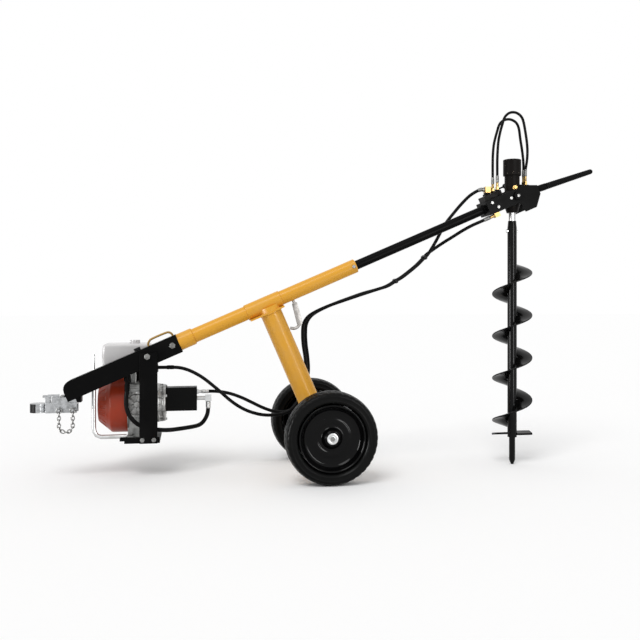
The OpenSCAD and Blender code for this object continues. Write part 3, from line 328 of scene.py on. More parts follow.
# small bare chips: a cell pattern's centres kept only where a broad noise allows
def makeChipGroup():
    group, given, where = newGroup("paintChips", ["Chip Scale", "Chip Size", "Spread"])
    cells = addNode(group, "TexVoronoi", {"Vector": where, "Scale": given["Chip Scale"]})
    inside = mathOf(group, "LESS_THAN", cells.outputs["Distance"], given["Chip Size"])
    broad = addNode(group, "TexNoise", {"Vector": where, "Scale": 14, "Detail": 3})
    allowed = mathOf(group, "GREATER_THAN", broad.outputs["Fac"], given["Spread"])
    return endGroup(group, {"Chips": mathOf(group, "MULTIPLY", inside, allowed)})


# fine lines of turning or brushing: noise drawn out across one direction
def makeLineGroup():
    group, given, where = newGroup("toolLines", ["Across " + axis for axis in "XYZ"])
    scaling = addNode(group, "CombineXYZ", {axis: given["Across " + axis] for axis in "XYZ"})
    stretch = addNode(group, "VectorMath", {0: where, 1: scaling.outputs["Vector"]}, operation="MULTIPLY")
    noise = addNode(group, "TexNoise", {"Vector": stretch.outputs["Vector"], "Scale": 1, "Detail": 4})
    return endGroup(group, {"Lines": noise.outputs["Fac"]})


wearGroup = makeWearGroup()
chipGroup = makeChipGroup()
lineGroup = makeLineGroup()


# fine grain and grime, as the look asks
def wearOf(tree, look):
    values = {"Grain Scale": look["grain"], "Grime Scale": look["grimeScale"], "Grime Low": look["grimeLow"],
              "Grime High": look["grimeHigh"]}
    return addNode(tree, "Group", values, node_tree=wearGroup).outputs


# the look's colour, with patches of dust or stain where there is grime; on the cast alloy the near-black
# patches are stain and painted shade
def patchy(tree, look, wear):
    amount = rangeOf(tree, wear["Grime"], 0, look["patchAmount"])
    return mixColours(tree, look["colour"], look["patch"], amount)


def newFinish(name, metallic=0.0, coat=0.0, coatRough=0.1, specular=0.5):
    material = bpy.data.materials.new(name)
    material.use_nodes = True
    tree = material.node_tree
    shader = tree.nodes["Principled BSDF"]
    values = {"Metallic": metallic, "Coat Weight": coat, "Coat Roughness": coatRough,
              "Specular IOR Level": specular}
    for label, value in values.items():
        shader.inputs[label].default_value = value
    return material, tree, shader


# colour, roughness and a fine relief put on a finish
def dress(tree, shader, colour, rough, height, depth):
    bump = addNode(tree, "Bump", {"Height": height, "Distance": depth, "Strength": 1.0})
    for label, socket in (("Base Color", colour), ("Roughness", rough), ("Normal", bump.outputs["Normal"])):
        tree.links.new(socket, shader.inputs[label])


# paint: a coat with orange-peel grain, dull patches of dust, and a few bare chips
def paintFinish(name, look):
    material, tree, shader = newFinish(name, coat=look["coat"], coatRough=look["coatRough"],
                                       specular=look["specular"])
    wear = wearOf(tree, look)
    values = {"Chip Scale": look["chipScale"], "Chip Size": look["chipSize"], "Spread": look["chipSpread"]}
    chips = addNode(tree, "Group", values, node_tree=chipGroup).outputs["Chips"]
    colour = mixColours(tree, patchy(tree, look, wear), look["bare"], chips)
    rough = rangeOf(tree, wear["Grime"], look["rough"], look["rough"] + look["roughMore"])
    dress(tree, shader, colour, rough, wear["Grain"], look["peel"])
    return material


# roughness either side of the look's own, following a pattern
def roughRound(tree, look, pattern):
    return rangeOf(tree, pattern, look["rough"] - look["spread"], look["rough"] + look["spread"])


# bare or plated metal: tool lines in the roughness, stains in the colour, which on the cast alloy are also
# painted shade
def metalFinish(name, look):
    material, tree, shader = newFinish(name, metallic=1.0)
    wear = wearOf(tree, look)
    values = {"Across " + axis: value for axis, value in zip("XYZ", look["lines"])}
    lines = addNode(tree, "Group", values, node_tree=lineGroup).outputs["Lines"]
    dress(tree, shader, patchy(tree, look, wear), roughRound(tree, look, lines), wear["Grain"], look["bump"])
    return material


# rubber and plastic: mould grain, dust in patches
def mouldedFinish(name, look):
    material, tree, shader = newFinish(name, coat=look["coat"], specular=look["specular"])
    wear = wearOf(tree, look)
    rough = roughRound(tree, look, wear["Grain"])
    dress(tree, shader, patchy(tree, look, wear), rough, wear["Grain"], look["bump"])
    return material


# hose cover: two sets of slanted wrap marks on the tube's own map
def hoseFinish(name, look):
    material, tree, shader = newFinish(name, specular=look["specular"])
    where = addNode(tree, "UVMap", uv_map="along").outputs["UV"]
    heights = []
    for slant in (1, -1):
        turn = addNode(tree, "Mapping", {"Vector": where, "Scale": (look["wrapsPerMetre"], slant, 1)})
        wave = addNode(tree, "TexWave", {"Vector": turn.outputs["Vector"], "Scale": 1},
                       bands_direction="DIAGONAL")
        heights.append(wave.outputs["Fac"])
    weave = mathOf(tree, "MAXIMUM", *heights)
    rough = rangeOf(tree, weave, look["rough"], look["rough"] + look["roughMore"])
    dress(tree, shader, patchy(tree, look, wearOf(tree, look)), rough, weave, look["bump"])
    return material


yellowLook = {"colour": (0.76, 0.37, 0.032), "patch": (0.62, 0.36, 0.12), "patchAmount": 0.45, "rough": 0.3,
              "roughMore": 0.18, "coat": 0.06, "coatRough": 0.12, "specular": 0.2, "grain": 240,
              "peel": 0.00006, "grimeScale": 6, "grimeLow": 0.5, "grimeHigh": 0.78,
              "bare": (0.1, 0.075, 0.05), "chipScale": 60, "chipSize": 0.1, "chipSpread": 0.66}
blackLook = dict(yellowLook, colour=(0.003, 0.003, 0.0031), patch=(0.016, 0.015, 0.014), patchAmount=0.2,
                 rough=0.34, roughMore=0.25, bare=(0.07, 0.07, 0.07), chipScale=70, chipSize=0.09, coat=0.0,
                 specular=0.035)
glossLook = dict(blackLook, colour=(0.0016, 0.0016, 0.0018), rough=0.1, roughMore=0.1, specular=0.12,
                 patchAmount=0.1)
augerLook = dict(blackLook, colour=(0.0024, 0.0022, 0.0021), rough=0.14, roughMore=0.14, specular=0.13,
                 peel=0.00001)
bailLook = dict(yellowLook, colour=(0.42, 0.25, 0.06), patch=(0.2, 0.13, 0.06), patchAmount=0.7, rough=0.45,
                coat=0.0)
ironLook = dict(blackLook, colour=(0.0055, 0.0042, 0.0036), rough=0.38, specular=0.06, peel=0.00025,
                grain=320, chipSize=0.13, bare=(0.2, 0.17, 0.13), chipSpread=0.6)
pumpLook = dict(ironLook, colour=(0.0038, 0.004, 0.004), rough=0.3)
redLook = {"colour": (0.34, 0.035, 0.011), "patch": (0.2, 0.045, 0.022), "patchAmount": 0.5, "rough": 0.36,
           "spread": 0.08, "grain": 300, "grimeScale": 11, "grimeLow": 0.45, "grimeHigh": 0.75,
           "bump": 0.00006, "coat": 0.05, "specular": 0.22}
tankLook = dict(redLook, colour=(0.62, 0.61, 0.61), patch=(0.38, 0.36, 0.34), patchAmount=0.35, rough=0.33,
                grimeScale=7, coat=0.2, specular=0.5)
tyreLook = {"colour": (0.0028, 0.0029, 0.0029), "patch": (0.012, 0.012, 0.011), "patchAmount": 0.2,
            "rough": 0.3, "spread": 0.08, "grain": 500, "grimeScale": 10, "grimeLow": 0.42, "grimeHigh": 0.8,
            "bump": 0.00004, "coat": 0.0, "specular": 0.08}
plasticLook = dict(tyreLook, colour=(0.006, 0.006, 0.0063), rough=0.4, bump=0.00008)
gripLook = dict(tyreLook, colour=(0.004, 0.004, 0.004), rough=0.5, specular=0.05)
zincLook = {"colour": (0.62, 0.63, 0.63), "patch": (0.3, 0.29, 0.27), "patchAmount": 0.5, "rough": 0.3,
            "spread": 0.08, "grain": 260, "bump": 0.00008, "lines": (30, 220, 30), "grimeScale": 16,
            "grimeLow": 0.45, "grimeHigh": 0.75}
steelLook = dict(zincLook, colour=(0.56, 0.56, 0.56), rough=0.24, lines=(20, 20, 900))
# cast alloy: near-black patches laid on thickly, partly stain and partly painted shade for the dark holes and
# gaps between fins; the block look below keeps them
alloyStainAndShadeLook = dict(zincLook, colour=(0.38, 0.385, 0.375), patch=(0.035, 0.034, 0.031), patchAmount=0.85,
                 rough=0.42, bump=0.0003, grain=420, grimeScale=26)
blockStainAndShadeLook = dict(alloyStainAndShadeLook, colour=(0.46, 0.46, 0.45), grimeScale=44)
hitchLook = dict(zincLook, colour=(0.44, 0.45, 0.46), patch=(0.1, 0.1, 0.1), patchAmount=0.85, grimeScale=34)
brassLook = dict(zincLook, colour=(0.4, 0.27, 0.1), patch=(0.1, 0.06, 0.025), patchAmount=0.8, grimeScale=40)
chainLook = dict(zincLook, colour=(0.22, 0.22, 0.215), patch=(0.07, 0.06, 0.05), patchAmount=0.8, rough=0.36)
hookLook = dict(zincLook, colour=(0.36, 0.345, 0.33), patch=(0.1, 0.095, 0.09), patchAmount=0.8, rough=0.5,
                grimeScale=60)
boltLook = dict(zincLook, colour=(0.23, 0.23, 0.225), patch=(0.05, 0.047, 0.043), patchAmount=0.85,
                rough=0.34, grimeScale=70)
hoseLook = {"colour": (0.003, 0.003, 0.0032), "patch": (0.014, 0.013, 0.012), "patchAmount": 0.25,
            "rough": 0.34, "roughMore": 0.12, "bump": 0.00015, "wrapsPerMetre": 90, "specular": 0.06,
            "grain": 600, "grimeScale": 12, "grimeLow": 0.45, "grimeHigh": 0.8}

yellowPaint = paintFinish("yellowPaint", yellowLook)
blackPaint = paintFinish("blackPaint", blackLook)
glossBlack = paintFinish("glossBlack", glossLook)
bailPaint = paintFinish("bailPaint", bailLook)
augerPaint = paintFinish("augerPaint", augerLook)
headPaint = paintFinish("headPaint", ironLook)
pumpPaint = paintFinish("pumpPaint", pumpLook)
redShell = mouldedFinish("redShell", redLook)
tankShell = mouldedFinish("tankShell", tankLook)
tyreRubber = mouldedFinish("tyreRubber", tyreLook)
blackPlastic = mouldedFinish("blackPlastic", plasticLook)
gripRubber = mouldedFinish("gripRubber", gripLook)
zincPlate = metalFinish("zincPlate", zincLook)
turnedSteel = metalFinish("turnedSteel", steelLook)
castAlloyStainAndShade = metalFinish("castAlloyStainAndShade", alloyStainAndShadeLook)
hitchZinc = metalFinish("hitchZinc", hitchLook)
brassPlate = metalFinish("brassPlate", brassLook)
chainSteel = metalFinish("chainSteel", chainLook)
hookSteel = metalFinish("hookSteel", hookLook)
boltSteel = metalFinish("boltSteel", boltLook)
blockAlloyStainAndShade = metalFinish("blockAlloyStainAndShade", blockStainAndShadeLook)
hoseCover = hoseFinish("hoseCover", hoseLook)
print("finishes made")


# hoses: each follows its route, with a crimped sleeve where it meets a fitting
returnHose = {"diameter": 16, "ends": ((blackPaint, "frame_black"), (boltSteel, "zinc")), "route": [
    [-722, 0, 503], [-694, 0, 503], [-656, 2, 499], [-612, 5, 484], [-560, 12, 454], [-510, 20, 414],
    [-468, 28, 377], [-424, 38, 337], [-378, 48, 304], [-330, 58, 280], [-270, 68, 263], [-205, 78, 260],
    [-150, 82, 272], [-112, 82, 300], [-84, 81, 345], [-66, 80, 405], [-58, 79, 470], [-63, 77, 535],
    [-73, 74, 600], [-76, 71, 655], [-72, 69, 698], [-52, 65, 732], [-16, 61, 757], [50, 53, 787],
    [130, 46, 815], [210, 39, 842], [290, 34, 868], [340, 34, 884], [380, 34, 908], [420, 34, 932],
    [487, 34, 985], [527, 34, 1025], [545, 34, 1043], [586, 41, 1106], [634, 50, 1188], [680, 52, 1246],
    [726, 46, 1300], [764, 32, 1338], [806, 20, 1362], [830, 20, 1362]]}
pressureHose = {"diameter": 16, "ends": ((zincPlate, "zinc"), (boltSteel, "zinc")), "route": [
    [-560, 150, 372], [-530, 150, 372], [-490, 148, 371], [-450, 144, 366], [-410, 139, 356],
    [-365, 133, 339], [-317, 126, 316], [-270, 120, 293], [-225, 116, 276], [-180, 113, 268],
    [-136, 112, 274], [-98, 112, 302], [-70, 112, 348], [-52, 111, 405], [-42, 108, 470], [-46, 103, 535],
    [-55, 98, 600], [-58, 94, 655], [-54, 92, 698], [-34, 88, 734], [4, 83, 762], [70, 75, 793],
    [150, 67, 823], [222, 62, 848], [295, 58, 868], [340, 58, 884], [380, 58, 908], [420, 58, 932],
    [487, 58, 985], [527, 58, 1025], [545, 58, 1043], [585, 52, 1072], [625, 40, 1100], [665, 26, 1126],
    [710, 8, 1156], [755, -8, 1182], [788, -17, 1197], [815, -20, 1209], [843, -20, 1221]]}
suctionHose = {"diameter": 20, "ends": ((blackPaint, "frame_black"), (zincPlate, "zinc")), "route": [
    [-900, -16, 430], [-900, -16, 404], [-904, -16, 366], [-902, -16, 322], [-886, -16, 280],
    [-852, -16, 245], [-802, -16, 224], [-745, -16, 216], [-705, -8, 214], [-668, 15, 214], [-628, 53, 213],
    [-585, 94, 214], [-563, 116, 220], [-545, 134, 237], [-532, 146, 263], [-528, 150, 294],
    [-528, 150, 324]]}
frontLoop = {"diameter": 13, "ends": ((boltSteel, "zinc"), (boltSteel, "zinc")), "route": [
    [877, -30, 1392], [877, -30, 1440], [877, -30, 1500], [879, -30, 1550], [884, -29, 1600],
    [895, -28, 1650], [906, -27, 1685], [912, -26, 1705], [923, -25, 1724], [942, -24, 1739],
    [965, -22, 1744], [988, -20, 1739], [1007, -19, 1724], [1019, -17, 1700], [1030, -15, 1650],
    [1038, -14, 1600], [1042, -12, 1555], [1040, -11, 1510], [1034, -10, 1470], [1032, -10, 1450],
    [1032, -10, 1430]]}
rearLoop = {"diameter": 13, "ends": ((boltSteel, "zinc"), (boltSteel, "zinc")), "route": [
    [877, 30, 1392], [877, 30, 1440], [877, 30, 1500], [878, 29, 1545], [882, 28, 1590], [891, 27, 1630],
    [901, 26, 1665], [906, 26, 1681], [916, 25, 1700], [935, 24, 1714], [958, 23, 1719], [980, 22, 1714],
    [999, 21, 1700], [1011, 20, 1672], [1018, 19, 1620], [1026, 18, 1570], [1032, 17, 1520],
    [1033, 15, 1480], [1032, 14, 1450], [1032, 14, 1430]]}
crimp = {"length": 0.034, "fit": 1.01, "swell": 1.2, "ridge": 0.0007, "ridges": 5, "lead": 0.08}


# a crimped sleeve: the hose's own path for a short way, its radius swelling and rippling
def crimpOn(name, path, radius, body, finish):
    at = np.linspace(0, crimp["length"], 40)
    share = at / crimp["length"]
    edge = np.clip(np.minimum(share, 1 - share) / crimp["lead"], 0, 1)
    radii = radius * (crimp["fit"] + (crimp["swell"] - crimp["fit"]) * edge)
    radii = radii + crimp["ridge"] * np.sin(2 * np.pi * crimp["ridges"] * share) * edge
    return tubePiece(name, tubeGrid(pointsAt(path, at), radii, 24), finish[0], body, finish[1], sharp=50)


def makeHose(name, hose, node, bodies, across=None):
    path = smoothRoute(placed(hose["route"]), 6)
    radius = hose["diameter"] / 2000
    piece = tubePiece(name, tubeGrid(path, radius, 18), hoseCover, bodies[0], "hose_black", [node], sharp=60,
                      ride=across is None)
    if across:
        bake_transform(piece)
    ends = [crimpOn(name + "Crimp", path, radius, bodies[0], hose["ends"][0]),
            crimpOn(name + "FarCrimp", path[::-1], radius, bodies[-1], hose["ends"][1])]


# the loops run between the valve's fittings and the motor's
loopSpan = (tuple(placed([877, 0, 1392])), tuple(placed([1028, 0, 1443])))
makeHose("returnHose", returnHose, "return_hose", ["chassis"])
makeHose("pressureHose", pressureHose, "pressure_hose", ["chassis"])
makeHose("suctionHose", suctionHose, "suction_hose", ["chassis"])
makeHose("frontLoopHose", frontLoop, "front_loop_hose", ["chassis", "head"], across=loopSpan)
makeHose("rearLoopHose", rearLoop, "rear_loop_hose", ["chassis", "head"], across=loopSpan)
print("hoses made")


# the drawbar's upper end corner: the end is cut in slices, and each slice's top is lowered along an arc
barEnd = {"far": -1003.65, "top": 40, "round": 42, "skin": 12, "slices": (3, 8, 15, 24, 34, 42)}


def roundBarEnd(mesh):
    corner = onBoom(barEnd["far"], 0.0, barEnd["top"])
    ahead = onBoom(1.0, 0.0, 0.0) - onBoom(0.0, 0.0, 0.0)
    ahead = ahead / np.linalg.norm(ahead)
    upward = np.array([-ahead[2], 0, ahead[0]])

    def cutSlices(work):
        for depth in barEnd["slices"]:
            bmesh.ops.bisect_plane(work, geom=work.verts[:] + work.edges[:] + work.faces[:], dist=0.000001,
                                   plane_co=corner + ahead * depth / 1000, plane_no=ahead)

    edited(mesh, cutSlices)
    points = np.empty(3 * len(mesh.vertices))
    mesh.vertices.foreach_get("co", points)
    points = points.reshape(-1, 3)
    inward = (points - corner) @ ahead * 1000
    height = (points - corner) @ upward * 1000
    left = np.clip(barEnd["round"] - inward, 0, barEnd["round"])
    drop = barEnd["round"] - np.sqrt(barEnd["round"] ** 2 - left ** 2)
    lowered = points - upward * (drop * (height > -barEnd["skin"]))[:, None] / 1000
    mesh.vertices.foreach_set("co", lowered.ravel())


# a CAD solid with its edges broken: a merged copy, flat faces joined, and a small bevel on the corners
soft = {"merge": 0.00001, "flat": 0.5, "corner": 35, "segments": 2}


def softened(node, material, width, reshape=None):
    work = bmesh.new()
    work.from_mesh(nodes[node].data)
    bmesh.ops.remove_doubles(work, verts=work.verts, dist=soft["merge"])
    bmesh.ops.dissolve_limit(work, angle_limit=math.radians(soft["flat"]), verts=work.verts, edges=work.edges)
    mesh = bpy.data.meshes.new(node + "Soft")
    work.to_mesh(mesh)
    work.free()
    if reshape:
        reshape(mesh)
    piece = pieceOf(node + "Soft", mesh, material, bodyOf[node], slotOf[node], [node], sharp=soft["corner"],
                    turn=False)
    if width:
        bevel = piece.modifiers.new("brokenEdges", "BEVEL")
        bevel.width = width / 1000
        bevel.segments = soft["segments"]
        bevel.limit_method = "ANGLE"
        bevel.angle_limit = math.radians(soft["corner"])
        bevel.harden_normals = True
    return piece


softEdges = {
    "drawbar": (blackPaint, 2.5, roundBarEnd), "hanger_bar": (blackPaint, 1.5),
    "engine_platform": (blackPaint, 1.2),
    "extension_tube": (blackPaint, 0.8), "yoke": (blackPaint, 1.5), "handle_bar": (blackPaint, 0.8),
    "wheel_post": (yellowPaint, 1.0), "boom_tube": (yellowPaint, 1.0), "coupler_body": (hitchZinc, 1.8),
    "coupler_lever": (hitchZinc, 1.2), "frame_bolts": (boltSteel, 0.7), "front_strut": (zincPlate, 0.0),
    "engine_block": (castAlloyStainAndShade, 2.5), "cylinder_head": (castAlloyStainAndShade, 0.8),
    "muffler": (turnedSteel, 5.0), "air_cleaner": (blackPlastic, 6.0), "pump_body": (pumpPaint, 2.5),
    "pump_cover": (pumpPaint, 1.5), "hose_fittings": (brassPlate, 0.8), "motor_fittings": (brassPlate, 0.8),
    "valve_body": (headPaint, 2.0), "valve_lever": (blackPlastic, 1.2), "head_block": (headPaint, 3.0),
    "motor_body": (headPaint, 2.0), "motor_cap": (headPaint, 2.5), "fuel_cap": (tankShell, 1.5),
    "oil_cap": (blackPlastic, 1.2), "throttle_lever": (blackPlastic, 0.8), "auger_stem": (augerPaint, 0.8),
    "auger_pin": (zincPlate, 0.8), "cutting_head": (augerPaint, 1.2), "hose_ties": (blackPlastic, 0.8),
    "motor_shaft": (turnedSteel, 0.5), "axle": (turnedSteel, 0.8)}
softPieces = {node: softened(node, *look) for node, look in softEdges.items()}
for node, material in {"near_bushes": brassPlate, "far_bushes": brassPlate, "crankshaft": turnedSteel,
                       "flywheel": castAlloyStainAndShade, "drive_gear": turnedSteel, "driven_gear": turnedSteel,
                       "head_bearing": turnedSteel}.items():
    nodes[node].data.materials.clear()
    nodes[node].data.materials.append(material)
print("solids softened")


def centresOf(piece):
    centres = np.empty(3 * len(piece.data.polygons))
    piece.data.polygons.foreach_get("center", centres)
    return centres.reshape(-1, 3)


# chosen faces of a piece given a second finish
def repaint(piece, material, chosen):
    index = np.zeros(len(piece.data.polygons), np.int32)
    piece.data.polygons.foreach_get("material_index", index)
    index[chosen] = len(piece.data.materials)
    piece.data.materials.append(material)
    piece.data.polygons.foreach_set("material_index", index)


# hitch and fittings: bare tongue plate, dark nose, plated fittings at the pump, black ones at the drawbar
hitch = {"plateTop": 376.3, "plateX": -1120, "plateHalf": 28.5, "noseX": -1298}
fittingZones = {"pumpY": 0.1, "barX": -0.7, "barY": 0.05, "yokeX": 0.9}


def finishHitch():
    bar = softPieces["drawbar"]
    at = centresOf(bar) * 1000 + np.array([frameGeometry["axleShift"], 0, 0])
    repaint(bar, hitchZinc, (at[:, 2] < hitch["plateTop"]) & (at[:, 0] < hitch["plateX"])
            & (np.abs(at[:, 1]) < hitch["plateHalf"]))
    coupler = softPieces["coupler_body"]
    repaint(coupler, blackPlastic, centresOf(coupler)[:, 0] < placed([hitch["noseX"], 0, 0])[0])


finishHitch()
fittings, bolts = softPieces["hose_fittings"], softPieces["frame_bolts"]
fittingAt, boltAt = centresOf(fittings), centresOf(bolts)
repaint(fittings, zincPlate, fittingAt[:, 1] > fittingZones["pumpY"])
atBar = (fittingAt[:, 0] < fittingZones["barX"]) & (fittingAt[:, 1] < fittingZones["barY"])
repaint(fittings, blackPaint, atBar)
yokeBolts = boltAt[:, 0] > fittingZones["yokeX"]
repaint(bolts, blackPaint, yokeBolts)
print("fittings and hitch finished")


# wheels
tyre = {"outer": 0.207, "inner": 0.150, "width": 0.108, "height": 0.207, "middle": 0.2925,
        "crownPower": 0.55, "wallPower": 0.7, "crownFrom": 0.6, "grooves": (-0.021, 0.0, 0.021),
        "grooveHalf": 0.0026, "grooveEdge": 1.4, "grooveDepth": 0.004, "sipes": 40, "sipeLevel": 0.55,
        "sipeSlope": 6, "sipeFrom": 0.026, "sipeEnd": 0.002, "sipeDepth": 0.0016,
        "rings": (0.166, 0.187), "ringHalf": 0.0022, "ringTall": 0.0012, "ringFrom": 0.03, "steps": 320}


def signedPower(value, power):
    return np.sign(value) * np.abs(value) ** power


def wheelCentre(side):
    return np.array([-frameGeometry["axleShift"] / 1000, side * tyre["middle"], tyre["height"]])


# tyre: a rounded ring section turned about the axle, with round grooves and short slots cut in the crown
def makeTyre(side, label):
    a = fullTurn(120)
    middle = (tyre["outer"] + tyre["inner"]) / 2
    half = (tyre["outer"] - tyre["inner"]) / 2
    radius = middle + half * signedPower(np.cos(a), tyre["crownPower"])
    out = tyre["width"] / 2 * signedPower(np.sin(a), tyre["wallPower"])
    turns = fullTurn(tyre["steps"])
    crown = np.clip((radius - middle) / half * 2 - tyre["crownFrom"], 0, 1)
    gaps = [np.abs(out - groove) / tyre["grooveHalf"] for groove in tyre["grooves"]]
    cut = sum(np.clip(tyre["grooveEdge"] - gap, 0, 1) for gap in gaps)
    wave = np.cos(tyre["sipes"] * turns[None, :] + np.pi * (out[:, None] > 0))
    shoulder = np.clip((np.abs(out) - tyre["sipeFrom"]) / tyre["sipeEnd"], 0, 1)
    slots = np.clip((wave - tyre["sipeLevel"]) * tyre["sipeSlope"], 0, 1) * shoulder[:, None]
    depth = tyre["grooveDepth"] * cut[:, None] + tyre["sipeDepth"] * slots
    radii = radius[:, None] - crown[:, None] * depth
    ring = sum(np.exp(-((radius - r) / tyre["ringHalf"]) ** 2) for r in tyre["rings"])
    heights = out + np.sign(out) * tyre["ringTall"] * ring * (np.abs(out) > tyre["ringFrom"])
    grid = turned(radii, heights, wheelCentre(side), axesY(side), tyre["steps"])
    ringPiece(label + "Tyre", grid, tyreRubber, label + "_wheel", "tyre_rubber", [label + "_tyre"], sharp=50)


rim = {"outline": [(0.1494, 0.038), (0.1496, 0.043), (0.1455, 0.0455), (0.1405, 0.042), (0.136, 0.033),
                   (0.129, 0.021), (0.119, 0.0128), (0.110, 0.0112), (0.088, 0.0112), (0.083, 0.0138),
                   (0.066, 0.0138), (0.060, 0.0112), (0.050, 0.012), (0.043, 0.018), (0.037, 0.027),
                   (0.034, 0.0338), (0.0222, 0.034), (0.0222, -0.034), (0.034, -0.034), (0.034, 0.003),
                   (0.050, 0.0058), (0.110, 0.0058), (0.121, 0.0075), (0.134, 0.023), (0.1427, 0.034),
                   (0.1427, -0.038), (0.1496, -0.042), (0.1494, -0.034)], "cut": 0.22}
hubCap = {"outline": [(0.0, 0.0400), (0.0115, 0.0400), (0.0125, 0.0392), (0.0145, 0.0392), (0.0155, 0.0412),
                      (0.0235, 0.0412), (0.0262, 0.0396), (0.0285, 0.0362), (0.0308, 0.0354),
                      (0.0308, 0.0342), (0.0285, 0.0341), (0.02, 0.0341)], "cut": 0.22, "centreHole": 0.00005,
          "nut": 11, "nutHigh": 0.0386, "nutTall": 7.2, "bright": 0.0242}


def makeRim(side, label):
    body, centre = label + "_wheel", wheelCentre(side)
    profile = cutCorners(rim["outline"], rim["cut"])
    grid = turned(profile[:, 0], profile[:, 1], centre, axesY(side), 160)
    ringPiece(label + "Rim", grid, glossBlack, body, "wheel_black", [label + "_rim"], sharp=60)
    dome = cutCorners(hubCap["outline"], hubCap["cut"], closed=False)
    dome[:, 0] = np.maximum(dome[:, 0], hubCap["centreHole"])
    grid = turned(dome[:, 0], dome[:, 1], centre, axesY(side), 96)
    cap = tubePiece(label + "HubCap", grid, zincPlate, body, "zinc", [label + "_hub_cap"], sharp=60)
    spoke = (centresOf(cap) - centre)[:, [0, 2]]
    repaint(cap, glossBlack, np.linalg.norm(spoke, axis=1) > hubCap["bright"])
    face = centre + np.array([0, side * hubCap["nutHigh"], 0])
    nut = hexHead(label + "HubNut", face, axesY(side), hubCap["nut"], hubCap["nutTall"])
    pieceOf(label + "HubNut", nut, boltSteel, body, "zinc", sharp=25)


for side, label in ((-1, "near"), (1, "far")):
    makeTyre(side, label)
    makeRim(side, label)
print("wheels made")


# auger flight: a rounded strip carried up a right-handed screw line, a little thinner at its rim
flight = {"stem": 0.0233, "outer": 0.098, "low": 0.175, "high": 0.997, "pitch": 0.210, "zero": 0.329,
          "thick": 0.008, "rimThick": 0.006, "rings": (0.030, 0.060), "rimSteps": (0.004, 0.001),
          "stepsPerTurn": 96}


def makeFlight():
    turnsUp = (flight["high"] - flight["low"]) / flight["pitch"]
    t = np.linspace(0, turnsUp, int(turnsUp * flight["stepsPerTurn"]))
    angle = 2 * np.pi * (t + (flight["low"] - flight["zero"]) / flight["pitch"])
    half, rimHalf, mid = flight["thick"] / 2, flight["rimThick"] / 2, flight["thick"] / 2
    stem, outer = flight["stem"], flight["outer"]
    lower = [(r, half) for r in (stem, *flight["rings"])]
    lower += [(outer - step, rimHalf) for step in flight["rimSteps"]] + [(outer, rimHalf / 2)]
    outline = np.array([(r, mid - h) for r, h in lower] + [(r, mid + h) for r, h in lower[::-1]])
    x = placed(frameGeometry["pivot"])[0] + outline[None, :, 0] * np.cos(angle)[:, None]
    y = outline[None, :, 0] * np.sin(angle)[:, None]
    z = flight["low"] + flight["pitch"] * t[:, None] + outline[None, :, 1]
    tubePiece("augerFlight", np.stack([x, y, z], axis=-1), augerPaint, "auger", "auger_black",
              ["auger_flight"], sharp=45)


makeFlight()
print("auger made")


# fuel tank: a box rounded all over by powers of sine and cosine, with a seam flange round its middle
tank = {"low": (-1022, 60, 494), "high": (-796, 252, 608), "square": 0.15, "flange": 0.003,
        "flangeHalf": 0.35, "flangeEdge": 1.5, "flangeSlope": 0.2}


def makeTank():
    low, high = placed(tank["low"]), placed(tank["high"])
    centre, half = (low + high) / 2, (high - low) / 2
    up = np.linspace(-np.pi / 2, np.pi / 2, 81)
    turns = fullTurn(160)
    level = np.abs(np.sin(up)) ** tank["square"] * np.sign(np.sin(up))
    reach = np.cos(up) ** tank["square"]
    near = np.abs(level) < tank["flangeHalf"]
    lip = tank["flange"] * near * np.clip(tank["flangeEdge"] - np.abs(level) / tank["flangeSlope"], 0, 1)
    wide = (half[:2, None] - tank["flange"] + lip) * reach
    x = centre[0] + wide[0][:, None] * signedPower(np.cos(turns), tank["square"])
    y = centre[1] + wide[1][:, None] * signedPower(np.sin(turns), tank["square"])
    z = centre[2] + half[2] * level[:, None] + 0 * x
    mesh = gridSkin("fuelTank", np.stack([x, y, z], axis=-1), closeCols=True)
    edited(mesh, lambda work: bmesh.ops.remove_doubles(work, verts=work.verts, dist=soft["merge"]))
    pieceOf("fuelTank", mesh, tankShell, "chassis", "tank_grey", ["fuel_tank"], sharp=50)


makeTank()
print("tank made")


# fan shroud: a stepped shell turned about the crankshaft, long vents pressed into its end and its cone
shroud = {"axis": (150, 322), "outline": [(2, -1042), (20, -1042), (78, -1042), (85, -1038), (120, -995),
                                          (125, -989), (133, -981), (135, -975), (135, -940), (135, -903),
                                          (131, -903), (131, -972), (118, -986), (77, -1036), (2, -1036)],
          "cut": 0.2, "vents": 18, "ventDepth": 0.0035, "ventEdge": (0.1, 5), "endX": -1.0405,
          "endVents": (0.028, 0.072, 0.004), "coneVents": (-1.033, -1.0, 0.003), "coneX": -1.038,
          "coneRadius": 0.0855, "coneSlope": 0.8, "skin": 0.002, "steps": 288}


def makeShroud():
    fine = splitSides(cutCorners(shroud["outline"], shroud["cut"]), 6)
    radius, x = fine.T
    wave = shroud["ventDepth"] * barsRound(shroud["vents"], shroud["steps"], *shroud["ventEdge"])
    onEnd = window(radius, *shroud["endVents"]) * (x < shroud["endX"])
    outside = radius > shroud["coneRadius"] + shroud["coneSlope"] * (x - shroud["coneX"]) - shroud["skin"]
    onCone = window(x, *shroud["coneVents"]) * outside
    radii = fine[:, :1] - wave * onCone[:, None]
    heights = fine[:, 1:] + wave * onEnd[:, None]
    grid = turned(radii, heights, placed([0, *shroud["axis"]]), axesX, shroud["steps"])
    ringPiece("fanShroud", grid, redShell, "chassis", "shroud_red", ["fan_shroud"], sharp=45)


makeShroud()
print("shroud made")


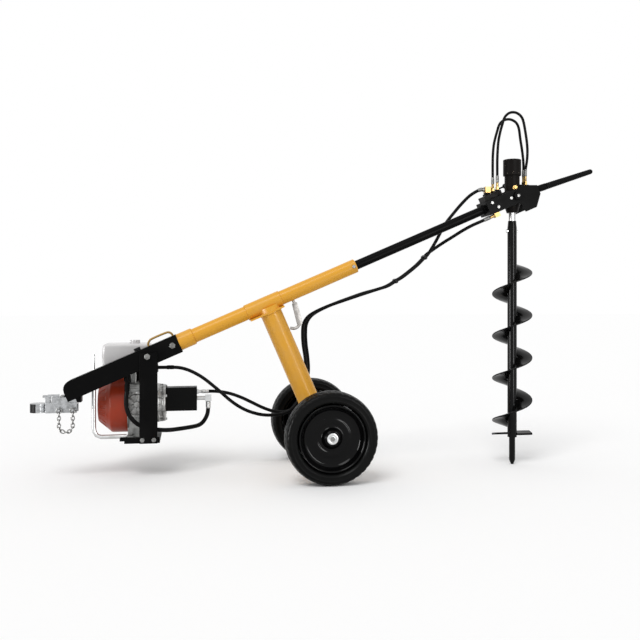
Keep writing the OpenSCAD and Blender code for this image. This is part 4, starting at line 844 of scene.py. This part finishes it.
# bell housing: a turned casting with short ribs between its two flanges and bolts on its pump face
bell = {"axis": (150, 322), "outline": [(18, -729), (70, -729), (84, -729), (88, -732), (88, -741),
                                        (84, -744), (84, -757), (92, -760), (92, -775), (81, -775),
                                        (81, -741), (77, -735), (18, -735)],
        "cut": 0.16, "ribs": 16, "ribTall": 0.006, "ribEdge": (0.72, 9), "waistRadii": (0.0825, 0.0875),
        "waistX": (-0.7585, -0.7425), "steps": 240, "face": -729, "bolts": 6, "boltAt": 79, "boltRadius": 6.5,
        "boltTall": 6}


def makeBell():
    fine = splitSides(cutCorners(bell["outline"], bell["cut"]), 3)
    wave = barsRound(bell["ribs"], bell["steps"], *bell["ribEdge"])
    waist = between(fine[:, 0], bell["waistRadii"]) & between(fine[:, 1], bell["waistX"])
    radii = fine[:, :1] + bell["ribTall"] * wave * waist[:, None]
    grid = turned(radii, fine[:, 1:], placed([0, *bell["axis"]]), axesX, bell["steps"])
    ringPiece("bellHousing", grid, blockAlloyStainAndShade, "chassis", slotOf["bell_housing"], ["bell_housing"])
    y, z = bell["axis"]
    angles = fullTurn(bell["bolts"]) + np.pi / bell["bolts"]
    places = [placed([bell["face"], y + bell["boltAt"] * math.cos(a), z + bell["boltAt"] * math.sin(a)])
              for a in angles]
    heads = [hexHead("bellBolt", place, axesX, bell["boltRadius"], bell["boltTall"]) for place in places]
    joinedPiece("bellBolts", heads, zincPlate, "chassis", "zinc", sharp=25)


# crankcase side: a ribbed round cover with its bolts, and short cooling fins above it
cover = {"centre": (-862, 65, 326), "radii": [0.05, 12, 14, 14.5, 20, 30, 40, 46, 50, 60, 62, 62],
         "heights": [14, 14, 12, 8, 8, 8, 8, 8, 4, 4, 3, -1], "ribs": 8, "ribTall": 4, "ribbed": (16, 45),
         "ribSlope": 6, "ribCut": 4, "steps": 192,
         "bolts": 8, "boltAt": 56, "boltRadius": 5, "boltTall": 5, "boltFace": 0.004,
         "finLow": (-899, 54, 398), "finHigh": (-848, 66, 401), "fins": 3, "finStep": 7}


def makeCover():
    centre, axes = placed(cover["centre"]), axesY(-1)
    slot = slotOf["engine_block"]
    radii, heights = np.array(cover["radii"], float), np.array(cover["heights"], float)
    wave = np.cos(cover["ribs"] * fullTurn(cover["steps"]))
    wave = np.clip(wave * cover["ribSlope"] - cover["ribCut"], 0, 1)
    heights = heights[:, None] + cover["ribTall"] * wave * between(radii, cover["ribbed"])[:, None]
    grid = turned(radii / 1000, heights / 1000, centre, axes, cover["steps"])
    tubePiece("crankcaseCover", grid, blockAlloyStainAndShade, "chassis", slot, sharp=35)
    angles = fullTurn(cover["bolts"])
    ring = np.stack([np.cos(angles), 0 * angles, np.sin(angles)], axis=1) * cover["boltAt"] / 1000
    places = centre + ring + np.array([0, -cover["boltFace"], 0])
    heads = [hexHead("coverBolt", place, axes, cover["boltRadius"], cover["boltTall"]) for place in places]
    joinedPiece("coverBolts", heads, zincPlate, "chassis", "zinc", sharp=25)
    lifts = [np.array([0, 0, 1]) * cover["finStep"] * i for i in range(cover["fins"])]
    fins = [boxSkin("fin", cover["finLow"] + lift, cover["finHigh"] + lift) for lift in lifts]
    joinedPiece("crankcaseFins", fins, blockAlloyStainAndShade, "chassis", slot, sharp=25)


# drill head: bolts through the yoke's plates, and a brass plug with its ring on the motor
headTrim = {"plate": 66, "bolts": ((1197, 18), (1219, -13), (1296, 2)), "radius": 8.5, "tall": 6,
            "pivotTall": 3, "plugY": -36, "plugZ": 1368, "plugRadius": 9, "plugTall": 6, "plugOut": 0.005,
            "ring": ((2, 5), (12, 5), (13, 4), (13, -4), (2, -4))}


def makeHeadTrim():
    pivotX, _, pivotZ = frameGeometry["pivot"]
    reach = np.abs(boltAt[yokeBolts][:, 1]).max() * 1000
    heads = []
    for side in (-1.0, 1.0):
        tilted = ((boomCos, 0, boomSin), (-boomSin, 0, boomCos), (0, side, 0))
        heads += [hexHead("yokeBolt", onBoom(u, side * headTrim["plate"], w), tilted, headTrim["radius"],
                          headTrim["tall"]) for u, w in headTrim["bolts"]]
        nutAt = placed([pivotX, side * reach, pivotZ])
        heads.append(hexHead("pivotNut", nutAt, axesY(side), headTrim["radius"], headTrim["pivotTall"]))
    joinedPiece("yokeBolts", heads, boltSteel, "chassis", "zinc", sharp=25)
    centre, axes = placed([pivotX, headTrim["plugY"], headTrim["plugZ"]]), axesY(-1)
    ringRadii, ringHeights = np.array(headTrim["ring"]).T / 1000
    ring = turned(ringRadii, ringHeights, centre, axes, 48)
    plugAt = centre + np.array([0, -headTrim["plugOut"], 0])
    plug = hexHead("motorPlug", plugAt, axes, headTrim["plugRadius"], headTrim["plugTall"])
    skins = [gridSkin("plugRing", ring, closeCols=True, capEnds=True), plug]
    joinedPiece("motorPlug", skins, brassPlate, "head", slotOf["motor_fittings"], sharp=25)


makeBell()
makeCover()
makeHeadTrim()
print("castings and bolts made")


# safety chain: long links turned a quarter each, the two end links round to pass their pins
chain = {"y": -51, "low": -1195, "high": -1135, "pinZ": 320.8, "pinRadius": 5, "slack": 0.3, "round": 11,
         "narrow": 7, "wire": 2.6, "legLinks": 4, "arcLinks": 6}


def makeChain():
    step = 2 * (chain["round"] - chain["wire"]) - chain["slack"]
    top = chain["pinZ"] - (chain["round"] - chain["wire"] - chain["pinRadius"]) + chain["slack"]
    count = 2 * chain["legLinks"] + chain["arcLinks"] + 1
    arc = (chain["high"] - chain["low"]) / 2
    i = np.arange(count)
    turn = np.clip(np.pi * (i - chain["legLinks"]) / chain["arcLinks"], 0, np.pi)
    hang = np.minimum(np.minimum(i, count - 1 - i), chain["legLinks"])
    x = (chain["low"] + chain["high"]) / 2 - arc * np.cos(turn)
    z = top - hang * step - arc * np.sin(turn)
    ahead = np.stack([np.sin(turn), 0 * turn, -np.cos(turn)], axis=1)
    flat = np.stack([np.cos(turn), 0 * turn, np.sin(turn)], axis=1)
    side = np.where((i % 2 == 0)[:, None], flat, np.array([0.0, 1.0, 0.0]))
    width = np.where((i == 0) | (i == count - 1), chain["round"], chain["narrow"])
    t = fullTurn(48)
    middle = placed(np.stack([x, 0 * x + chain["y"], z], axis=1))
    loop = middle[:, None] + (chain["round"] * ahead[:, None] * np.cos(t)[:, None]
                              + width[:, None, None] * side[:, None] * np.sin(t)[:, None]) / 1000
    outward = ahead[:, None] * np.cos(t)[:, None] + side[:, None] * np.sin(t)[:, None]
    across = np.cross(ahead, side)[:, None, None]
    a = fullTurn(12)[:, None]
    wires = loop[:, :, None] + chain["wire"] / 1000 * (outward[:, :, None] * np.cos(a) + across * np.sin(a))
    skins = [gridSkin("chainLink", wire, closeRows=True, closeCols=True) for wire in wires]
    joinedPiece("safetyChain", skins, chainSteel, bodyOf["safety_chain"],
            slotOf["safety_chain"], ["safety_chain"], sharp=60)


makeChain()
print("chain made")


# bent rods, and the flat shank of the hook
hook = {"u": 120, "root": -33.8, "neck": -55.5, "bends": [[10, 0, -31], [20, 0, -63], [22, 0, -87],
                                                          [14, 0, -105], [-2, 0, -113], [-22, 0, -111]]}
hookRoot = onBoom(hook["u"], 0.0, hook["root"])
hookNeck = onBoom(hook["u"], 0.0, hook["neck"])
hookBends = np.array(hook["bends"]) / 1000
bailPoints = np.array([[-580, 40], [-580, 48], [-570, 59], [-552, 65], [-488, 65], [-470, 60], [-462, 48],
                       [-462, 40]])
rods = {"hoseHook": {"node": "hose_hook", "radius": 0.007, "material": hookSteel,
                     "route": np.vstack([hookRoot, hookNeck, hookNeck + hookBends])},
        "liftingBail": {"node": "lifting_bail", "radius": 0.005, "material": bailPaint,
                        "route": onBoom(bailPoints[:, 0], 0.0, bailPoints[:, 1])}}
for name, rod in rods.items():
    grid = tubeGrid(smoothRoute(rod["route"], 8), rod["radius"], 20)
    tubePiece(name, grid, rod["material"], "chassis", slotOf[rod["node"]], [rod["node"]], sharp=60)
shank = {"radii": [11, 12.4, 13, 13, 12.4, 11], "across": [-7, -6.4, -5, 5, 6.4, 7]}


def makeShank():
    tip = hookNeck + hookBends[2]
    down = (tip - hookNeck) / np.linalg.norm(tip - hookNeck)
    beside = np.cross(down, [0.0, 1.0, 0.0])
    angle = fullTurn(64)
    ends = np.where((np.cos(angle) > 0)[:, None], tip, hookNeck)
    spoke = np.cos(angle)[:, None] * down + np.sin(angle)[:, None] * beside
    radii, across = (np.array(shank[key])[:, None, None] / 1000 for key in ("radii", "across"))
    grid = ends + radii * spoke + across * np.array([0.0, 1.0, 0.0])
    tubePiece("hookShank", grid, hookSteel, "chassis", slotOf["hose_hook"])


makeShank()
print("rods made")


# handle grip: a sleeve with shallow rings and a domed end, turned about the handle's line
grip = {"angle": 18.5, "reach": 438, "length": 250, "root": 16.5, "radius": 13, "bore": 10.3, "rings": 26,
        "ringDepth": 0.5, "ringSharp": 3, "ringLead": 12, "tipHole": 0.002}


def makeGrip():
    s = np.linspace(grip["reach"] - grip["length"], grip["reach"], 200)
    share = (s - s[0]) / grip["length"]
    wave = np.clip(np.cos(2 * np.pi * grip["rings"] * share) * grip["ringSharp"], -1, 1)
    ripple = grip["ringDepth"] * wave
    taper = grip["root"] + (grip["radius"] - grip["root"]) * share
    lead = np.clip(np.minimum(share, 1 - share) * grip["ringLead"], 0, 1)
    body = taper - grip["ringDepth"] + ripple * lead
    dome = np.linspace(0, np.pi / 2 - grip["tipHole"], 16)
    tip = (grip["radius"] - grip["ringDepth"]) * np.cos(dome)
    radii = np.concatenate([[grip["bore"]], body, tip]) / 1000
    heights = np.concatenate([s[:1], s, grip["reach"] + grip["radius"] * np.sin(dome)]) / 1000
    turn = math.radians(grip["angle"])
    axes = ((0, 1, 0), (-math.sin(turn), 0, math.cos(turn)), (math.cos(turn), 0, math.sin(turn)))
    grid = turned(radii, heights, placed(frameGeometry["pivot"]), axes, 48)
    tubePiece("handleGrip", grid, gripRubber, "chassis", "hose_black", ["handle_grip"], sharp=50)


makeGrip()
print("grip made")


# weld beads: a thin tube along each joint, its radius rising and falling with each pass of the torch
bead = {"radius": 0.0032, "ripple": 0.18, "step": 0.004, "spacing": 0.0012, "fewest": 12}
welds = {"boomAt": (-104, 66, -377), "boomRadius": 34.5, "axleTube": 26, "axleW": -642, "postRadius": 51,
         "sleeveRadius": 51.5, "sleeveW": -45, "yokeAt": 1168, "yokeRadius": 22.6}


def makeBead(name, path, material, slot):
    length = lengthsAlong(path)[-1]
    at = np.linspace(0, length, max(bead["fewest"], int(length / bead["spacing"])))
    radii = bead["radius"] * (1 + bead["ripple"] * np.sin(2 * np.pi * at / bead["step"]))
    tubePiece(name, tubeGrid(pointsAt(path, at), radii, 8), material, "chassis", slot, sharp=80)


def makeWelds():
    around = np.linspace(0, 2 * np.pi, 97)
    c, s = np.cos(around), np.sin(around)
    for index, u in enumerate(welds["boomAt"]):
        path = onBoom(u, welds["boomRadius"] * c, welds["boomRadius"] * s)
        makeBead("boomWeld%d" % index, path, yellowPaint, "boom_yellow")
    across = welds["axleTube"] * c
    for index, sign in enumerate((-1, 1)):
        y = sign * np.sqrt(welds["postRadius"] ** 2 - across ** 2)
        path = onBoom(across, y, welds["axleTube"] * s + welds["axleW"])
        makeBead("axleWeld%d" % index, path, yellowPaint, "boom_yellow")
    path = onBoom(welds["sleeveRadius"] * c, welds["sleeveRadius"] * s, welds["sleeveW"])
    makeBead("postWeld", path, yellowPaint, "boom_yellow")
    path = onBoom(welds["yokeAt"], welds["yokeRadius"] * c, welds["yokeRadius"] * s)
    makeBead("yokeWeld", path, blackPaint, "frame_black")


makeWelds()
print("welds made")


# floor, light and sky: the floor and the sky look white to the camera and keep the shadow
studio = {"floor": (0.86, 0.86, 0.86), "floorSeen": (1.0, 1.0, 1.0), "floorHalf": 40, "sky": 0.7,
          "skySeen": 1.0, "sunPower": 1.15, "sunAngle": 28, "sunTurn": (38, 0, -32)}
lamps = {"leftLamp": {"power": 130, "size": (1.0, 1.8), "place": (-3.2, -1.0, 0.5), "aim": (0.0, -0.3, 0.3)},
         "rightLamp": {"power": 85, "size": (0.8, 2.4), "place": (1.8, -3.4, 1.0), "aim": (0.7, -0.1, 0.7)}}


def seenShare(tree):
    rays = addNode(tree, "LightPath").outputs
    share = rays["Is Camera Ray"]
    for label in ("Is Glossy Ray", "Is Transmission Ray"):
        share = mathOf(tree, "MAXIMUM", share, rays[label])
    return share


floorMesh = bpy.data.meshes.new("studioFloor")
floorCorners = studio["floorHalf"] * np.array([(-1, -1, 0), (1, -1, 0), (1, 1, 0), (-1, 1, 0)])
floorMesh.from_pydata(floorCorners.tolist(), [], [(0, 1, 2, 3)])
floor = newObject("studioFloor", floorMesh)
floorFinish, floorTree, floorShader = newFinish("studioFloor", specular=0.0)
floorTree.links.new(mixColours(floorTree, studio["floor"], studio["floorSeen"], seenShare(floorTree)),
                    floorShader.inputs["Base Color"])
floorShader.inputs["Roughness"].default_value = 1.0
floorMesh.materials.append(floorFinish)

world = bpy.data.worlds.new("studioSky")
world.use_nodes = True
scene.world = world
skyTree = world.node_tree
sky = skyTree.nodes["Background"]
sky.inputs["Color"].default_value = (1, 1, 1, 1)
skyStrength = rangeOf(skyTree, seenShare(skyTree), studio["sky"], studio["skySeen"])
skyTree.links.new(skyStrength, sky.inputs["Strength"])

sun = bpy.data.lights.new("studioSun", "SUN")
sun.energy = studio["sunPower"]
sun.angle = math.radians(studio["sunAngle"])
sunHolder = newObject("studioSun", sun)
sunHolder.rotation_euler = [math.radians(turn) for turn in studio["sunTurn"]]

# the two lamps show in what shines, and light nothing else
for name, look in lamps.items():
    lamp = bpy.data.lights.new(name, "AREA")
    lamp.energy = look["power"]
    lamp.shape = "RECTANGLE"
    lamp.size, lamp.size_y = look["size"]
    holder = newObject(name, lamp)
    holder.location = look["place"]
    toward = np.array(look["aim"]) - np.array(look["place"])
    holder.rotation_euler = (math.acos(-toward[2] / np.linalg.norm(toward)), 0,
                             math.atan2(toward[1], toward[0]) - math.pi / 2)
    holder.visible_diffuse = False
    holder.visible_camera = False
print("studio lit")
